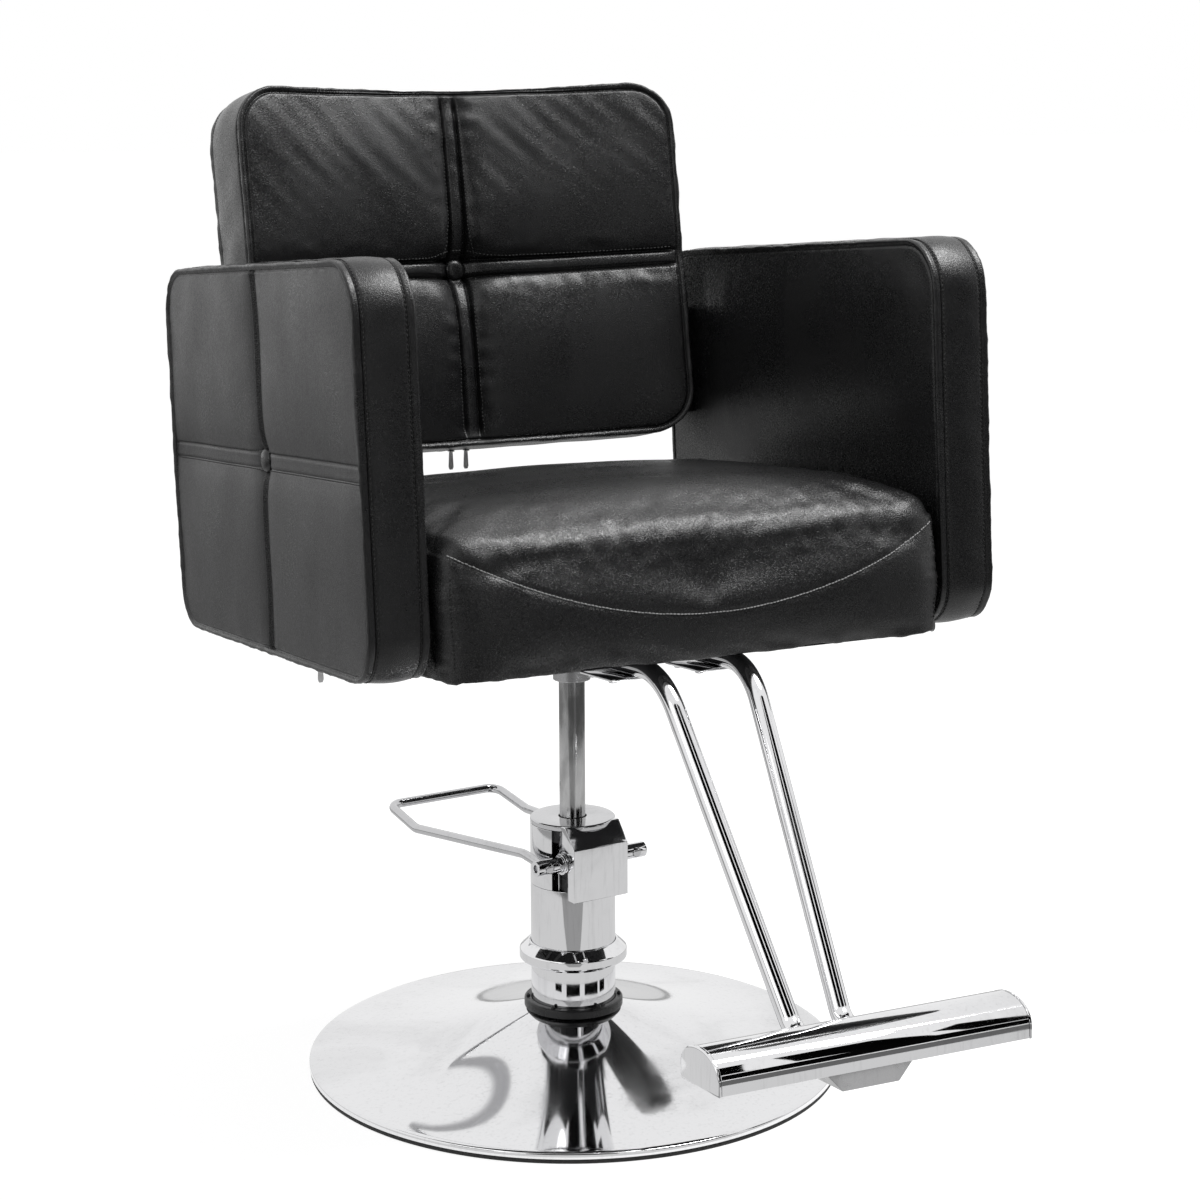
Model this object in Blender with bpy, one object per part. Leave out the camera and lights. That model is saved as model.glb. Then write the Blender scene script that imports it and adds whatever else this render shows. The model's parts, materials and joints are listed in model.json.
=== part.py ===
"""Salon styling chair on a hydraulic foot pump, built as separate pieces.

Metres, +Z up. The origin is on the lift column's axis at the floor, the chair faces -Y.
Everything above the column is laid out in the seat's own frame, which leans back a little.
"""
import math

import bmesh
import bpy
from mathutils import Matrix, Vector

# ---------------------------------------------------------------- driving dimensions
GAP = 0.0003                    # running gap between pieces that touch
BASE_ROUND = 56                 # sides of the dish
ROUND = 36                      # sides of the large turned pieces
SMALL_ROUND = 20                # sides of the small turned pieces

# foot: a flat steel disc under a pressed, chromed dish
BASE_RADIUS = 0.280
RIM_HEIGHT = 0.011
HUB_HEIGHT = 0.061
DISH_SAG = 1.7
DISH_WALL = 0.002
FLOOR_PLATE_THICKNESS = 0.008
GASKET_WIDTH = 0.010
GASKET_HEIGHT = 0.004

# column: the pump's housing with its trim
COLUMN_RADIUS = 0.0445
COLUMN_WALL = 0.003
SHAFT_HEIGHT = 0.2284           # the pedal shaft, which the column's joints are measured from
HOUSING_TOP = SHAFT_HEIGHT - 0.0314
COLUMN_TOP = SHAFT_HEIGHT + 0.0391
CAP_THICKNESS = 0.0055
RING_RADIUS = 0.052
RING_HEIGHT = 0.009
COLLAR_RADIUS = 0.0565
COLLAR_BOTTOM = 0.110
COLLAR_HEIGHT = 0.0236

# pump inside the column
BARREL_RADIUS = 0.024
BARREL_BORE_RADIUS = 0.020
FOOT_VALVE_RADIUS = 0.036
FOOT_VALVE_HEIGHT = 0.030
HEAD_RING_HEIGHT = 0.0135
BUSH_RADIUS = 0.0195
ROD_RADIUS = 0.0135
ROD_STUB_RADIUS = 0.009
PISTON_HEIGHT = 0.022
ROD_NUT_HEIGHT = 0.008
PISTON_END_CLEARANCE = 0.002
THRUST_RING_HEIGHT = 0.004
SEAL_HEIGHT = 0.006
SEAL_DEPTH = 0.003
LIFT_DOWN = 0.120               # how far the seat sinks from where it stands here

# pump head: the box on the front of the column that the pedal shaft passes through
HEAD_YAW = 7.0
HEAD_FRONT = 0.0553
HEAD_BACK = 0.0215
HEAD_HALF_WIDTH = 0.0328
HEAD_BOTTOM = HOUSING_TOP - 0.006
HEAD_SHOULDER = SHAFT_HEIGHT + 0.0186
HEAD_TOP_FRONT = 0.0383
HEAD_WALL = 0.0025
SHAFT_FORWARD = 0.0335
SHAFT_RADIUS = 0.008
SHAFT_HALF_LENGTH = 0.066
SHAFT_END_BORE = 0.004
SHAFT_BUSH_RADIUS = 0.0102
SHAFT_BUSH_LENGTH = 0.0075
EAR_RADIUS = 0.0135
BLOCK_HALF_WIDTH = 0.0297
BUSH_OUTER_X = 0.0291
BLOCK_HEIGHT = 0.014
BLOCK_FRONT = 0.0515
BLOCK_BACK = 0.012
WASHER_RADIUS = 0.0112
WASHER_THICKNESS = 0.003
CAM_REACH = 0.016
CAM_WIDTH = 0.008
CAM_ROOT = 0.0075
CAM_NOSE = 0.004
PLUNGER_RADIUS = 0.0035
PLUNGER_FORWARD = 0.0455
PLUNGER_COLLAR_RADIUS = 0.0048
SPRING_WIRE_RADIUS = 0.0006
SPRING_COILS = 3

# pedal: one bent rod that reaches back round both sides of the column
WIRE_RADIUS = 0.005
WIRE_HALF_SPACING = 0.0532
PEDAL_STRAIGHT = 0.045
PEDAL_START_RISE = 0.003
PEDAL_WIDE_HALF = 0.071
PEDAL_WIDE_AT = 0.245
PEDAL_DROP = 0.016
PEDAL_END_HALF = 0.069
PEDAL_REACH = 0.310
PEDAL_END_DROP = 0.005
PEDAL_BEND_RADIUS = 0.015

# seat assembly, in the seat's frame: heights count from the mounting plate's level
SEAT_LEVEL = 0.420
SEAT_RECLINE = 4.8
SOCKET_RADIUS = 0.0195
SOCKET_DROP = 0.0065
MOUNT_PLATE_SIZE = 0.170
MOUNT_PLATE_THICKNESS = 0.006
RAIL_WIDTH = 0.030
RAIL_WALL = 0.0025
RAIL_FRONT_Y = -0.040
RAIL_REAR_Y = 0.062
RAIL_HEIGHT = 0.012
ARM_PLATE_THICKNESS = 0.0028
ARM_PLATE_FRONT = -0.075
ARM_PLATE_REAR = 0.100
ARM_PLATE_TOP = 0.085
BOARD_THICKNESS = 0.012
BOARD_INSET = 0.030
LINING_THICKNESS = 0.0015

# seat cushion
SEAT_HALF_WIDTH = 0.2605
SEAT_FRONT = -0.308
SEAT_REAR = 0.165
SEAT_BOTTOM = 0.052
SEAT_TOP = 0.209
SEAT_CROWN = 0.012
SEAT_CORNER = 0.030
SEAT_NOSE_DROP = 0.024
SEAT_SIDE_BULGE = 0.006

# arms: upholstered slabs that reach from below the seat to the elbow
ARM_CLEARANCE = 0.0015
ARM_INNER = SEAT_HALF_WIDTH + SEAT_SIDE_BULGE + ARM_CLEARANCE
ARM_THICKNESS = 0.058
ARM_FRONT = -0.287
ARM_REAR = 0.277
ARM_BOTTOM = 0.054
ARM_TOP = 0.428
ARM_TOP_CORNER = 0.050
ARM_BOTTOM_CORNER = 0.042
ARM_CROWN = 0.006
ARM_INNER_CROWN = 0.0008
ARM_INNER_PUFF = 0.008
ARM_PUFF_RISE = 0.060
ARM_BAND_BULGE = 0.004
ARM_TUFT = 0.006

# backrest
BRACKET_THICKNESS = 0.0104
BACK_BAND_BULGE = 0.004
BACK_HALF_WIDTH = ARM_INNER - BRACKET_THICKNESS - BACK_BAND_BULGE - 2 * GAP
BACK_BOTTOM = 0.230
BACK_TOP = 0.617
BACK_THICKNESS = 0.100
BACK_EDGE_Y = 0.188
BACK_HOLLOW = 0.040
BACK_LEAN = 5.5
BACK_CORNER = 0.046
BACK_CROWN = 0.010
BACK_TUFT = 0.014
CHANNEL_DEPTH = 0.005
CHANNEL_WIDTH = 0.016
BACK_PANEL_THICKNESS = 0.004
BRACKET_HEIGHT = 0.120
BRACKET_WIDTH = 0.040
BRACKET_HEIGHT_ABOVE_BACK = 0.020
BUTTON_RADIUS = 0.012
BUTTON_HEIGHT = 0.006
BUTTON_SINK = 0.0015

# footrest
TUBE_RADIUS = 0.0095
TUBE_WALL = 0.0015
TUBE_SPACING_TOP = 0.092
TUBE_SPACING_BAR = 0.050
TUBE_START_Y = -0.090
TUBE_SLOPE = 57.5
TUBE_BEND_RADIUS = 0.070
TUBE_KNEE_Y = -0.300
TUBE_HEEL_RADIUS = 0.024
BAR_HALF_LENGTH = 0.1516
BAR_DEPTH = 0.068
BAR_HEIGHT = 0.034
BAR_WALL = 0.002
BAR_FRONT_Y = -0.592
BAR_CENTRE_DROP = 0.2485
END_CAP_THICKNESS = 0.003
CLAMP_FRONT_Y = -0.245
CLAMP_WIDTH = 0.052
CLAMP_LENGTH = 0.070
CLAMP_THICKNESS = 0.003
FOOT_BRACKET_HALF_TOP = 0.046
FOOT_BRACKET_HALF_BOTTOM = 0.028
FOOT_BRACKET_FRONT = 0.0155
FOOT_BRACKET_REAR = 0.018
FOOT_BRACKET_THICKNESS = 0.0205

# zip pulls
ZIP_PULL_LENGTH = 0.020
ZIP_PULL_WIDTH = 0.006
ZIP_PULL_THICKNESS = 0.0014
BACK_ZIP_X = (-0.012, 0.006)
ARM_ZIP_Y = -0.071


# ---------------------------------------------------------------- scene helpers
def clear_scene():
    for item in list(bpy.data.objects):
        bpy.data.objects.remove(item, do_unlink=True)


def material(name, colour, roughness, metallic=0.0):
    made = bpy.data.materials.new(name)
    made.use_nodes = True
    shader = made.node_tree.nodes["Principled BSDF"]
    shader.inputs["Base Color"].default_value = (*colour, 1.0)
    shader.inputs["Roughness"].default_value = roughness
    shader.inputs["Metallic"].default_value = metallic
    return made


def empty(name, place, parent=None):
    made = bpy.data.objects.new(name, None)
    bpy.context.collection.objects.link(made)
    made.parent = parent
    made.matrix_local = place
    return made


def piece(name, mesh_data, look, parent=None, smooth=True):
    """Turn a bmesh into a named object that carries its own material."""
    data = bpy.data.meshes.new(name)
    bmesh.ops.recalc_face_normals(mesh_data, faces=mesh_data.faces)
    mesh_data.to_mesh(data)
    mesh_data.free()
    if smooth:
        data.shade_smooth()
        data.set_sharp_from_angle(angle=math.radians(35))
    made = bpy.data.objects.new(name, data)
    bpy.context.collection.objects.link(made)
    data.materials.append(look)
    made.parent = parent
    return made


def cutter(name, mesh_data, parent=None):
    """A guide for a Boolean: never part of the chair itself."""
    data = bpy.data.meshes.new(name)
    bmesh.ops.recalc_face_normals(mesh_data, faces=mesh_data.faces)
    mesh_data.to_mesh(data)
    mesh_data.free()
    made = bpy.data.objects.new(name, data)
    bpy.context.collection.objects.link(made)
    made.parent = parent
    made.hide_render = True
    made.display_type = 'WIRE'
    return made


def cut(target, tool, operation='DIFFERENCE'):
    step = target.modifiers.new(tool.name, 'BOOLEAN')
    step.operation = operation
    step.solver = 'EXACT'
    step.object = tool
    return step


def rounded(target, width, segments=2):
    step = target.modifiers.new("edges", 'BEVEL')
    step.width = width
    step.segments = segments
    step.limit_method = 'ANGLE'
    step.angle_limit = math.radians(40)
    return step


# ---------------------------------------------------------------- shape helpers
def turned(profile, sides, axis='Z', centre=(0.0, 0.0, 0.0)):
    """Revolve a closed outline of (radius, height) points round an axis."""
    mesh = bmesh.new()
    rings = []
    for radius, height in profile:
        if radius < 1e-6:
            rings.append([mesh.verts.new((0.0, 0.0, height))])
            continue
        ring = []
        for side in range(sides):
            angle = 2.0 * math.pi * side / sides
            ring.append(mesh.verts.new((radius * math.cos(angle), radius * math.sin(angle), height)))
        rings.append(ring)
    for here, there in zip(rings, rings[1:] + rings[:1]):
        if len(here) == 1 and len(there) == 1:
            continue
        for side in range(sides):
            after = (side + 1) % sides
            if len(here) == 1:
                mesh.faces.new((here[0], there[after], there[side]))
            elif len(there) == 1:
                mesh.faces.new((here[side], here[after], there[0]))
            else:
                mesh.faces.new((here[side], here[after], there[after], there[side]))
    turn = {'Z': Matrix.Identity(4), 'X': Matrix.Rotation(math.pi / 2, 4, 'Y'),
            'Y': Matrix.Rotation(-math.pi / 2, 4, 'X')}[axis]
    bmesh.ops.transform(mesh, matrix=Matrix.Translation(centre) @ turn, verts=mesh.verts)
    return mesh


def disc(radius, low, high, sides=ROUND, **place):
    return turned([(0.0, low), (radius, low), (radius, high), (0.0, high)], sides, **place)


def ring(inner, outer, low, high, sides=ROUND, **place):
    return turned([(inner, low), (outer, low), (outer, high), (inner, high)], sides, **place)


def block(low, high):
    """A box from its lowest to its highest corner."""
    mesh = bmesh.new()
    bmesh.ops.create_cube(mesh, size=1.0)
    low, high = Vector(low), Vector(high)
    size = high - low
    scale = Matrix.Diagonal((size.x, size.y, size.z, 1.0))
    bmesh.ops.transform(mesh, matrix=Matrix.Translation((low + high) / 2) @ scale, verts=mesh.verts)
    return mesh


def extruded(outline, low, high, plane='YZ'):
    """Push a closed outline through the third axis, from low to high."""
    def corner(first, second, third):
        return {'YZ': (third, first, second), 'XZ': (first, third, second),
                'XY': (first, second, third)}[plane]

    mesh = bmesh.new()
    near = [mesh.verts.new(corner(a, b, low)) for a, b in outline]
    far = [mesh.verts.new(corner(a, b, high)) for a, b in outline]
    mesh.faces.new(near)
    mesh.faces.new(list(reversed(far)))
    count = len(outline)
    for index in range(count):
        after = (index + 1) % count
        mesh.faces.new((near[index], far[index], far[after], near[after]))
    return mesh


def arc(centre, radius, start, end, steps):
    """Points on a circle, angles in degrees."""
    points = []
    for step in range(steps + 1):
        angle = math.radians(start + (end - start) * step / steps)
        points.append((centre[0] + radius * math.cos(angle), centre[1] + radius * math.sin(angle)))
    return points


def filleted(corners, radii, steps=6):
    """A path through corners, each turned by an arc of its own radius."""
    path = [Vector(corners[0])]
    for before, here, after, radius in zip(corners, corners[1:], corners[2:], radii):
        before, here, after = Vector(before), Vector(here), Vector(after)
        into, out = (before - here).normalized(), (after - here).normalized()
        half = into.angle(out) / 2
        reach = radius / math.tan(half)
        centre = here + (into + out).normalized() * (radius / math.sin(half))
        first, last = here + into * reach - centre, here + out * reach - centre
        span = first.angle(last)
        for step in range(steps + 1):
            part = step / steps
            spoke = (first * math.sin((1 - part) * span) + last * math.sin(part * span)) / math.sin(span)
            path.append(centre + spoke)
    path.append(Vector(corners[-1]))
    return path


def swept(path, radius, sides, bore=0.0):
    """A round bar along a path, or a tube where a bore is given."""
    mesh = bmesh.new()
    count = len(path)
    tangents = []
    for index in range(count):
        before, after = path[max(index - 1, 0)], path[min(index + 1, count - 1)]
        tangents.append((after - before).normalized())
    across = tangents[0].orthogonal().normalized()
    walls = [[], []] if bore else [[]]
    for point, tangent in zip(path, tangents):
        across = (across - tangent * across.dot(tangent)).normalized()
        up = tangent.cross(across)
        for wall, size in zip(walls, (radius, bore)):
            loop = []
            for side in range(sides):
                angle = 2.0 * math.pi * side / sides
                loop.append(mesh.verts.new(point + (across * math.cos(angle) + up * math.sin(angle)) * size))
            wall.append(loop)
    for wall in walls:
        for here, there in zip(wall, wall[1:]):
            for side in range(sides):
                after = (side + 1) % sides
                mesh.faces.new((here[side], here[after], there[after], there[side]))
    for end in (0, -1):
        if not bore:
            mesh.faces.new(walls[0][end])
            continue
        for side in range(sides):
            after = (side + 1) % sides
            mesh.faces.new((walls[0][end][side], walls[0][end][after],
                            walls[1][end][after], walls[1][end][side]))
    return mesh


def rounded_outline(low, high, radii, corner_steps, edge_steps):
    """Rounded rectangle, anticlockwise from the middle of its lower side.

    radii are for the corners low-right, high-right, high-left and low-left.
    Each half side is split evenly, so that points also lie on both centre lines.
    """
    middle = ((low[0] + high[0]) / 2, (low[1] + high[1]) / 2)
    corners = [((high[0], low[1]), -90), ((high[0], high[1]), 0), ((low[0], high[1]), 90), ((low[0], low[1]), 180)]
    stops = [(middle[0], low[1]), (high[0], middle[1]), (middle[0], high[1]), (low[0], middle[1])]
    points = []
    for index, ((corner, start), radius) in enumerate(zip(corners, radii)):
        inward = (math.copysign(radius, middle[0] - corner[0]), math.copysign(radius, middle[1] - corner[1]))
        centre = (corner[0] + inward[0], corner[1] + inward[1])
        bend = arc(centre, radius, start, start + 90, corner_steps)
        for begin, finish in ((stops[index], bend[0]), (bend[-1], stops[(index + 1) % 4])):
            if begin is not stops[index]:
                points.extend(bend)
            for step in range(edge_steps):
                part = step / edge_steps
                if begin is not stops[index] and step == 0:
                    continue
                points.append((begin[0] + (finish[0] - begin[0]) * part,
                               begin[1] + (finish[1] - begin[1]) * part))
    return points


def padded(outline, rings, front, back, bulge, band_rows=2):
    """A stuffed form between two crowned faces.

    outline lies in the (u, v) plane; front and back give the height of each face at
    (u, v, reach), where reach runs from 0 at the centre to 1 at the seam; bulge is how
    far the band between the seams swells outwards.
    """
    centre = ((min(u for u, v in outline) + max(u for u, v in outline)) / 2,
              (min(v for u, v in outline) + max(v for u, v in outline)) / 2)
    count = len(outline)
    mesh = bmesh.new()

    def face(height):
        pole = mesh.verts.new((*centre, height(*centre, 0.0)))
        loops = []
        for reach in rings:
            loop = []
            for u, v in outline:
                place = (centre[0] + (u - centre[0]) * reach, centre[1] + (v - centre[1]) * reach)
                loop.append(mesh.verts.new((*place, height(*place, reach))))
            loops.append(loop)
        for side in range(count):
            mesh.faces.new((pole, loops[0][side], loops[0][(side + 1) % count]))
        for here, there in zip(loops, loops[1:]):
            for side in range(count):
                after = (side + 1) % count
                mesh.faces.new((here[side], there[side], there[after], here[after]))
        return loops[-1]

    top, bottom = face(front), face(back)
    rows = [top]
    for row in range(1, band_rows + 1):
        part = row / (band_rows + 1)
        swell = bulge * math.sin(math.pi * part)
        loop = []
        for side in range(count):
            before, after = outline[side - 1], outline[(side + 1) % count]
            normal = Vector((after[1] - before[1], before[0] - after[0])).normalized()
            flat = Vector(outline[side]) + normal * swell
            height = top[side].co.z + (bottom[side].co.z - top[side].co.z) * part
            loop.append(mesh.verts.new((flat.x, flat.y, height)))
        rows.append(loop)
    rows.append(bottom)
    for here, there in zip(rows, rows[1:]):
        for side in range(count):
            after = (side + 1) % count
            mesh.faces.new((here[side], there[side], there[after], here[after]))
    return mesh


def place(mesh, matrix):
    bmesh.ops.transform(mesh, matrix=matrix, verts=mesh.verts)
    return mesh


def dip(distance, depth, width):
    """How deep a sewn line or a button pulls a face in, at a distance from it."""
    return depth * math.exp(-(distance / width) ** 2)


# ---------------------------------------------------------------- materials
def looks():
    return {
        "chrome": material("polished_chrome", (0.80, 0.80, 0.82), 0.06, 1.0),
        "steel": material("ground_steel", (0.55, 0.55, 0.56), 0.28, 1.0),
        "iron": material("cast_iron", (0.16, 0.16, 0.17), 0.60, 1.0),
        "black": material("black_paint", (0.02, 0.02, 0.02), 0.35),
        "rubber": material("black_rubber", (0.03, 0.03, 0.03), 0.80),
        "bronze": material("bearing_bronze", (0.60, 0.42, 0.20), 0.40, 1.0),
        "leather": material("black_leather", (0.022, 0.022, 0.024), 0.42),
        "lining": material("black_lining", (0.03, 0.03, 0.03), 0.90),
        "board": material("plywood", (0.45, 0.33, 0.20), 0.70),
        "spring": material("spring_steel", (0.40, 0.40, 0.42), 0.30, 1.0),
    }


# ---------------------------------------------------------------- foot
def dish_height(radius, hub_radius):
    """Height of the dish's outer face: a shallow cone, hollowed a little."""
    part = (radius - hub_radius) / (BASE_RADIUS - hub_radius)
    return RIM_HEIGHT + (HUB_HEIGHT - RIM_HEIGHT) * (1.0 - part) ** DISH_SAG


def build_foot(look):
    hub_radius = COLUMN_RADIUS + GAP
    gasket_outer = BASE_RADIUS - 0.001
    gasket_inner = gasket_outer - GASKET_WIDTH
    piece("base_plate", disc(gasket_inner - GAP, 0.0, FLOOR_PLATE_THICKNESS), look["iron"])
    piece("rim_gasket", ring(gasket_inner, gasket_outer, 0.0, GASKET_HEIGHT), look["rubber"])

    steps = 7
    rim_radius = BASE_RADIUS - DISH_WALL
    radii = [hub_radius + (rim_radius - hub_radius) * (step / steps) ** 1.3 for step in range(steps + 1)]
    upper = [(radius, dish_height(radius, hub_radius)) for radius in radii]
    lower = [(radius, height - DISH_WALL) for radius, height in upper[:-1]]
    foot = GASKET_HEIGHT + GAP
    roll = [(BASE_RADIUS - 0.0006, RIM_HEIGHT - 0.0012), (BASE_RADIUS, RIM_HEIGHT - 0.003),
            (BASE_RADIUS, foot + 0.001), (BASE_RADIUS - 0.001, foot), (rim_radius - 0.001, foot),
            (rim_radius - 0.001, RIM_HEIGHT - DISH_WALL)]
    profile = list(reversed(lower)) + upper + roll
    piece("base_cover", turned(profile, BASE_ROUND), look["chrome"])

    low = HUB_HEIGHT + GAP
    high = low + RING_HEIGHT
    chamfer = 0.0015
    piece("mounting_ring", turned([(hub_radius, low), (RING_RADIUS, low), (RING_RADIUS, high - chamfer),
                                   (RING_RADIUS - chamfer, high), (hub_radius, high)], ROUND), look["black"])


# ---------------------------------------------------------------- column and pump
def build_column(look):
    inner = COLUMN_RADIUS - COLUMN_WALL
    plate_top = FLOOR_PLATE_THICKNESS + GAP
    piece("pump_housing", ring(inner, COLUMN_RADIUS, plate_top, HOUSING_TOP), look["chrome"])

    low, high = COLLAR_BOTTOM, COLLAR_BOTTOM + COLLAR_HEIGHT
    bore = COLUMN_RADIUS + GAP
    bevel = COLLAR_RADIUS - COLUMN_RADIUS - 0.002
    band = COLLAR_HEIGHT / 2 - 0.0035
    piece("trim_collar", turned([(bore, low), (COLLAR_RADIUS - bevel, low), (COLLAR_RADIUS, low + band * 0.6),
                                 (COLLAR_RADIUS, high - band * 1.1), (COLLAR_RADIUS - bevel, high),
                                 (bore, high)], ROUND), look["chrome"])

    cap_bottom = COLUMN_TOP - CAP_THICKNESS
    hole = ROD_RADIUS + 0.0013
    cap_edge = 0.0012
    piece("top_cap", turned([(hole, cap_bottom), (COLUMN_RADIUS, cap_bottom),
                             (COLUMN_RADIUS, COLUMN_TOP - cap_edge), (COLUMN_RADIUS - cap_edge, COLUMN_TOP),
                             (hole, COLUMN_TOP)], ROUND), look["chrome"])

    foot_top = plate_top + FOOT_VALVE_HEIGHT
    piece("foot_valve_block", disc(FOOT_VALVE_RADIUS, plate_top, foot_top), look["iron"])

    head_top = cap_bottom - GAP
    head_bottom = head_top - HEAD_RING_HEIGHT
    piece("cylinder_head", ring(BUSH_RADIUS + GAP, inner - GAP, head_bottom, head_top), look["iron"])
    seal_bottom = head_top - SEAL_HEIGHT
    bore = ROD_RADIUS + GAP
    piece("rod_guide_bush", ring(bore, BUSH_RADIUS, head_bottom, seal_bottom - GAP, SMALL_ROUND * 2),
          look["bronze"])
    piece("wiper_seal", ring(bore, BUSH_RADIUS, seal_bottom, head_top, SMALL_ROUND * 2), look["rubber"])
    piece("pump_barrel", ring(BARREL_BORE_RADIUS, BARREL_RADIUS, foot_top + GAP, head_bottom - GAP),
          look["steel"])
    return cap_bottom, foot_top


def build_sleeve(look, head, cap_bottom):
    """Upper half of the column's skin, open in front where the pump head stands."""
    inner = COLUMN_RADIUS - COLUMN_WALL
    sleeve = piece("upper_sleeve", ring(inner, COLUMN_RADIUS, HOUSING_TOP + GAP, cap_bottom - GAP),
                   look["chrome"], head)
    window = cutter("sleeve_window", block((-COLUMN_RADIUS * 1.2, -COLUMN_RADIUS * 1.5, HOUSING_TOP - 0.01),
                                           (COLUMN_RADIUS * 1.2, -HEAD_BACK, COLUMN_TOP + 0.01)), head)
    cut(sleeve, window)


def build_pump_head(look, head, cap_bottom):
    """The folded cover, its casting and the two shaft bushes."""
    back = -(HEAD_BACK + GAP)
    outline = [(back, HEAD_BOTTOM), (-HEAD_FRONT, HEAD_BOTTOM), (-HEAD_FRONT, HEAD_SHOULDER),
               (-HEAD_TOP_FRONT, COLUMN_TOP), (back, COLUMN_TOP)]
    cover = piece("pump_head_cover", extruded(outline, -HEAD_HALF_WIDTH, HEAD_HALF_WIDTH), look["chrome"],
                  head, smooth=False)
    wall = HEAD_WALL
    inside = [(0.01, HEAD_BOTTOM - 0.01), (-HEAD_FRONT + wall, HEAD_BOTTOM - 0.01),
              (-HEAD_FRONT + wall, HEAD_SHOULDER - wall * 0.5), (-HEAD_TOP_FRONT + wall * 0.5, COLUMN_TOP - wall),
              (0.01, COLUMN_TOP - wall)]
    cut(cover, cutter("head_hollow", extruded(inside, -HEAD_HALF_WIDTH + wall, HEAD_HALF_WIDTH - wall), head))
    cut(cover, cutter("head_round_back", disc(COLUMN_RADIUS + GAP, cap_bottom - GAP, COLUMN_TOP + 0.01), head))
    ring_low = cap_bottom - HEAD_RING_HEIGHT - 3 * GAP
    cut(cover, cutter("head_ring_space", disc(COLUMN_RADIUS - COLUMN_WALL, ring_low, cap_bottom), head))
    cut(cover, cutter("housing_space", disc(COLUMN_RADIUS + GAP, HEAD_BOTTOM - 0.01, HOUSING_TOP + GAP), head))
    slot = SHAFT_RADIUS + 0.0006
    cut(cover, cutter("shaft_slot", block((-SHAFT_HALF_LENGTH, -SHAFT_FORWARD - slot, HEAD_BOTTOM - 0.005),
                                          (SHAFT_HALF_LENGTH, -SHAFT_FORWARD + slot, SHAFT_HEIGHT)), head))
    cut(cover, cutter("shaft_slot_end", disc(slot, -SHAFT_HALF_LENGTH, SHAFT_HALF_LENGTH, SMALL_ROUND, axis='X',
                                             centre=(0.0, -SHAFT_FORWARD, SHAFT_HEIGHT)), head))

    block_bottom = HOUSING_TOP + GAP
    block_top = block_bottom + BLOCK_HEIGHT
    casting = piece("valve_casting", block((-BLOCK_HALF_WIDTH, -BLOCK_FRONT, block_bottom),
                                           (BLOCK_HALF_WIDTH, -BLOCK_BACK, block_top)), look["iron"], head)
    ear_half = EAR_RADIUS * 0.8
    ear = [(-SHAFT_FORWARD - ear_half, block_top - 0.003), (-SHAFT_FORWARD + ear_half, block_top - 0.003)]
    ear += arc((-SHAFT_FORWARD, SHAFT_HEIGHT), EAR_RADIUS, -36.87, 216.87, 12)
    ears = {"left": (-BUSH_OUTER_X, -BUSH_OUTER_X + SHAFT_BUSH_LENGTH),
            "right": (BUSH_OUTER_X - SHAFT_BUSH_LENGTH, BUSH_OUTER_X)}
    for name, (low_x, high_x) in ears.items():
        cut(casting, cutter("ear_" + name, extruded(ear, low_x, high_x), head), 'UNION')
    cut(casting, cutter("ear_bore", disc(SHAFT_BUSH_RADIUS + GAP, -SHAFT_HALF_LENGTH, SHAFT_HALF_LENGTH,
                                         SMALL_ROUND, axis='X', centre=(0.0, -SHAFT_FORWARD, SHAFT_HEIGHT)), head))
    cut(casting, cutter("barrel_recess", disc(BARREL_RADIUS + GAP, COLLAR_BOTTOM, COLUMN_TOP), head))
    cut(casting, cutter("plunger_bore", disc(PLUNGER_RADIUS + GAP, block_bottom - 0.01, block_top + 0.01,
                                             SMALL_ROUND, centre=(0.0, -PLUNGER_FORWARD, 0.0)), head))
    for name, (low_x, high_x) in ears.items():
        bush = ring(SHAFT_RADIUS + GAP, SHAFT_BUSH_RADIUS, low_x, high_x, SMALL_ROUND, axis='X',
                    centre=(0.0, -SHAFT_FORWARD, SHAFT_HEIGHT))
        piece("shaft_bush_" + name, bush, look["bronze"], head)
    return block_bottom, block_top


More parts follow.
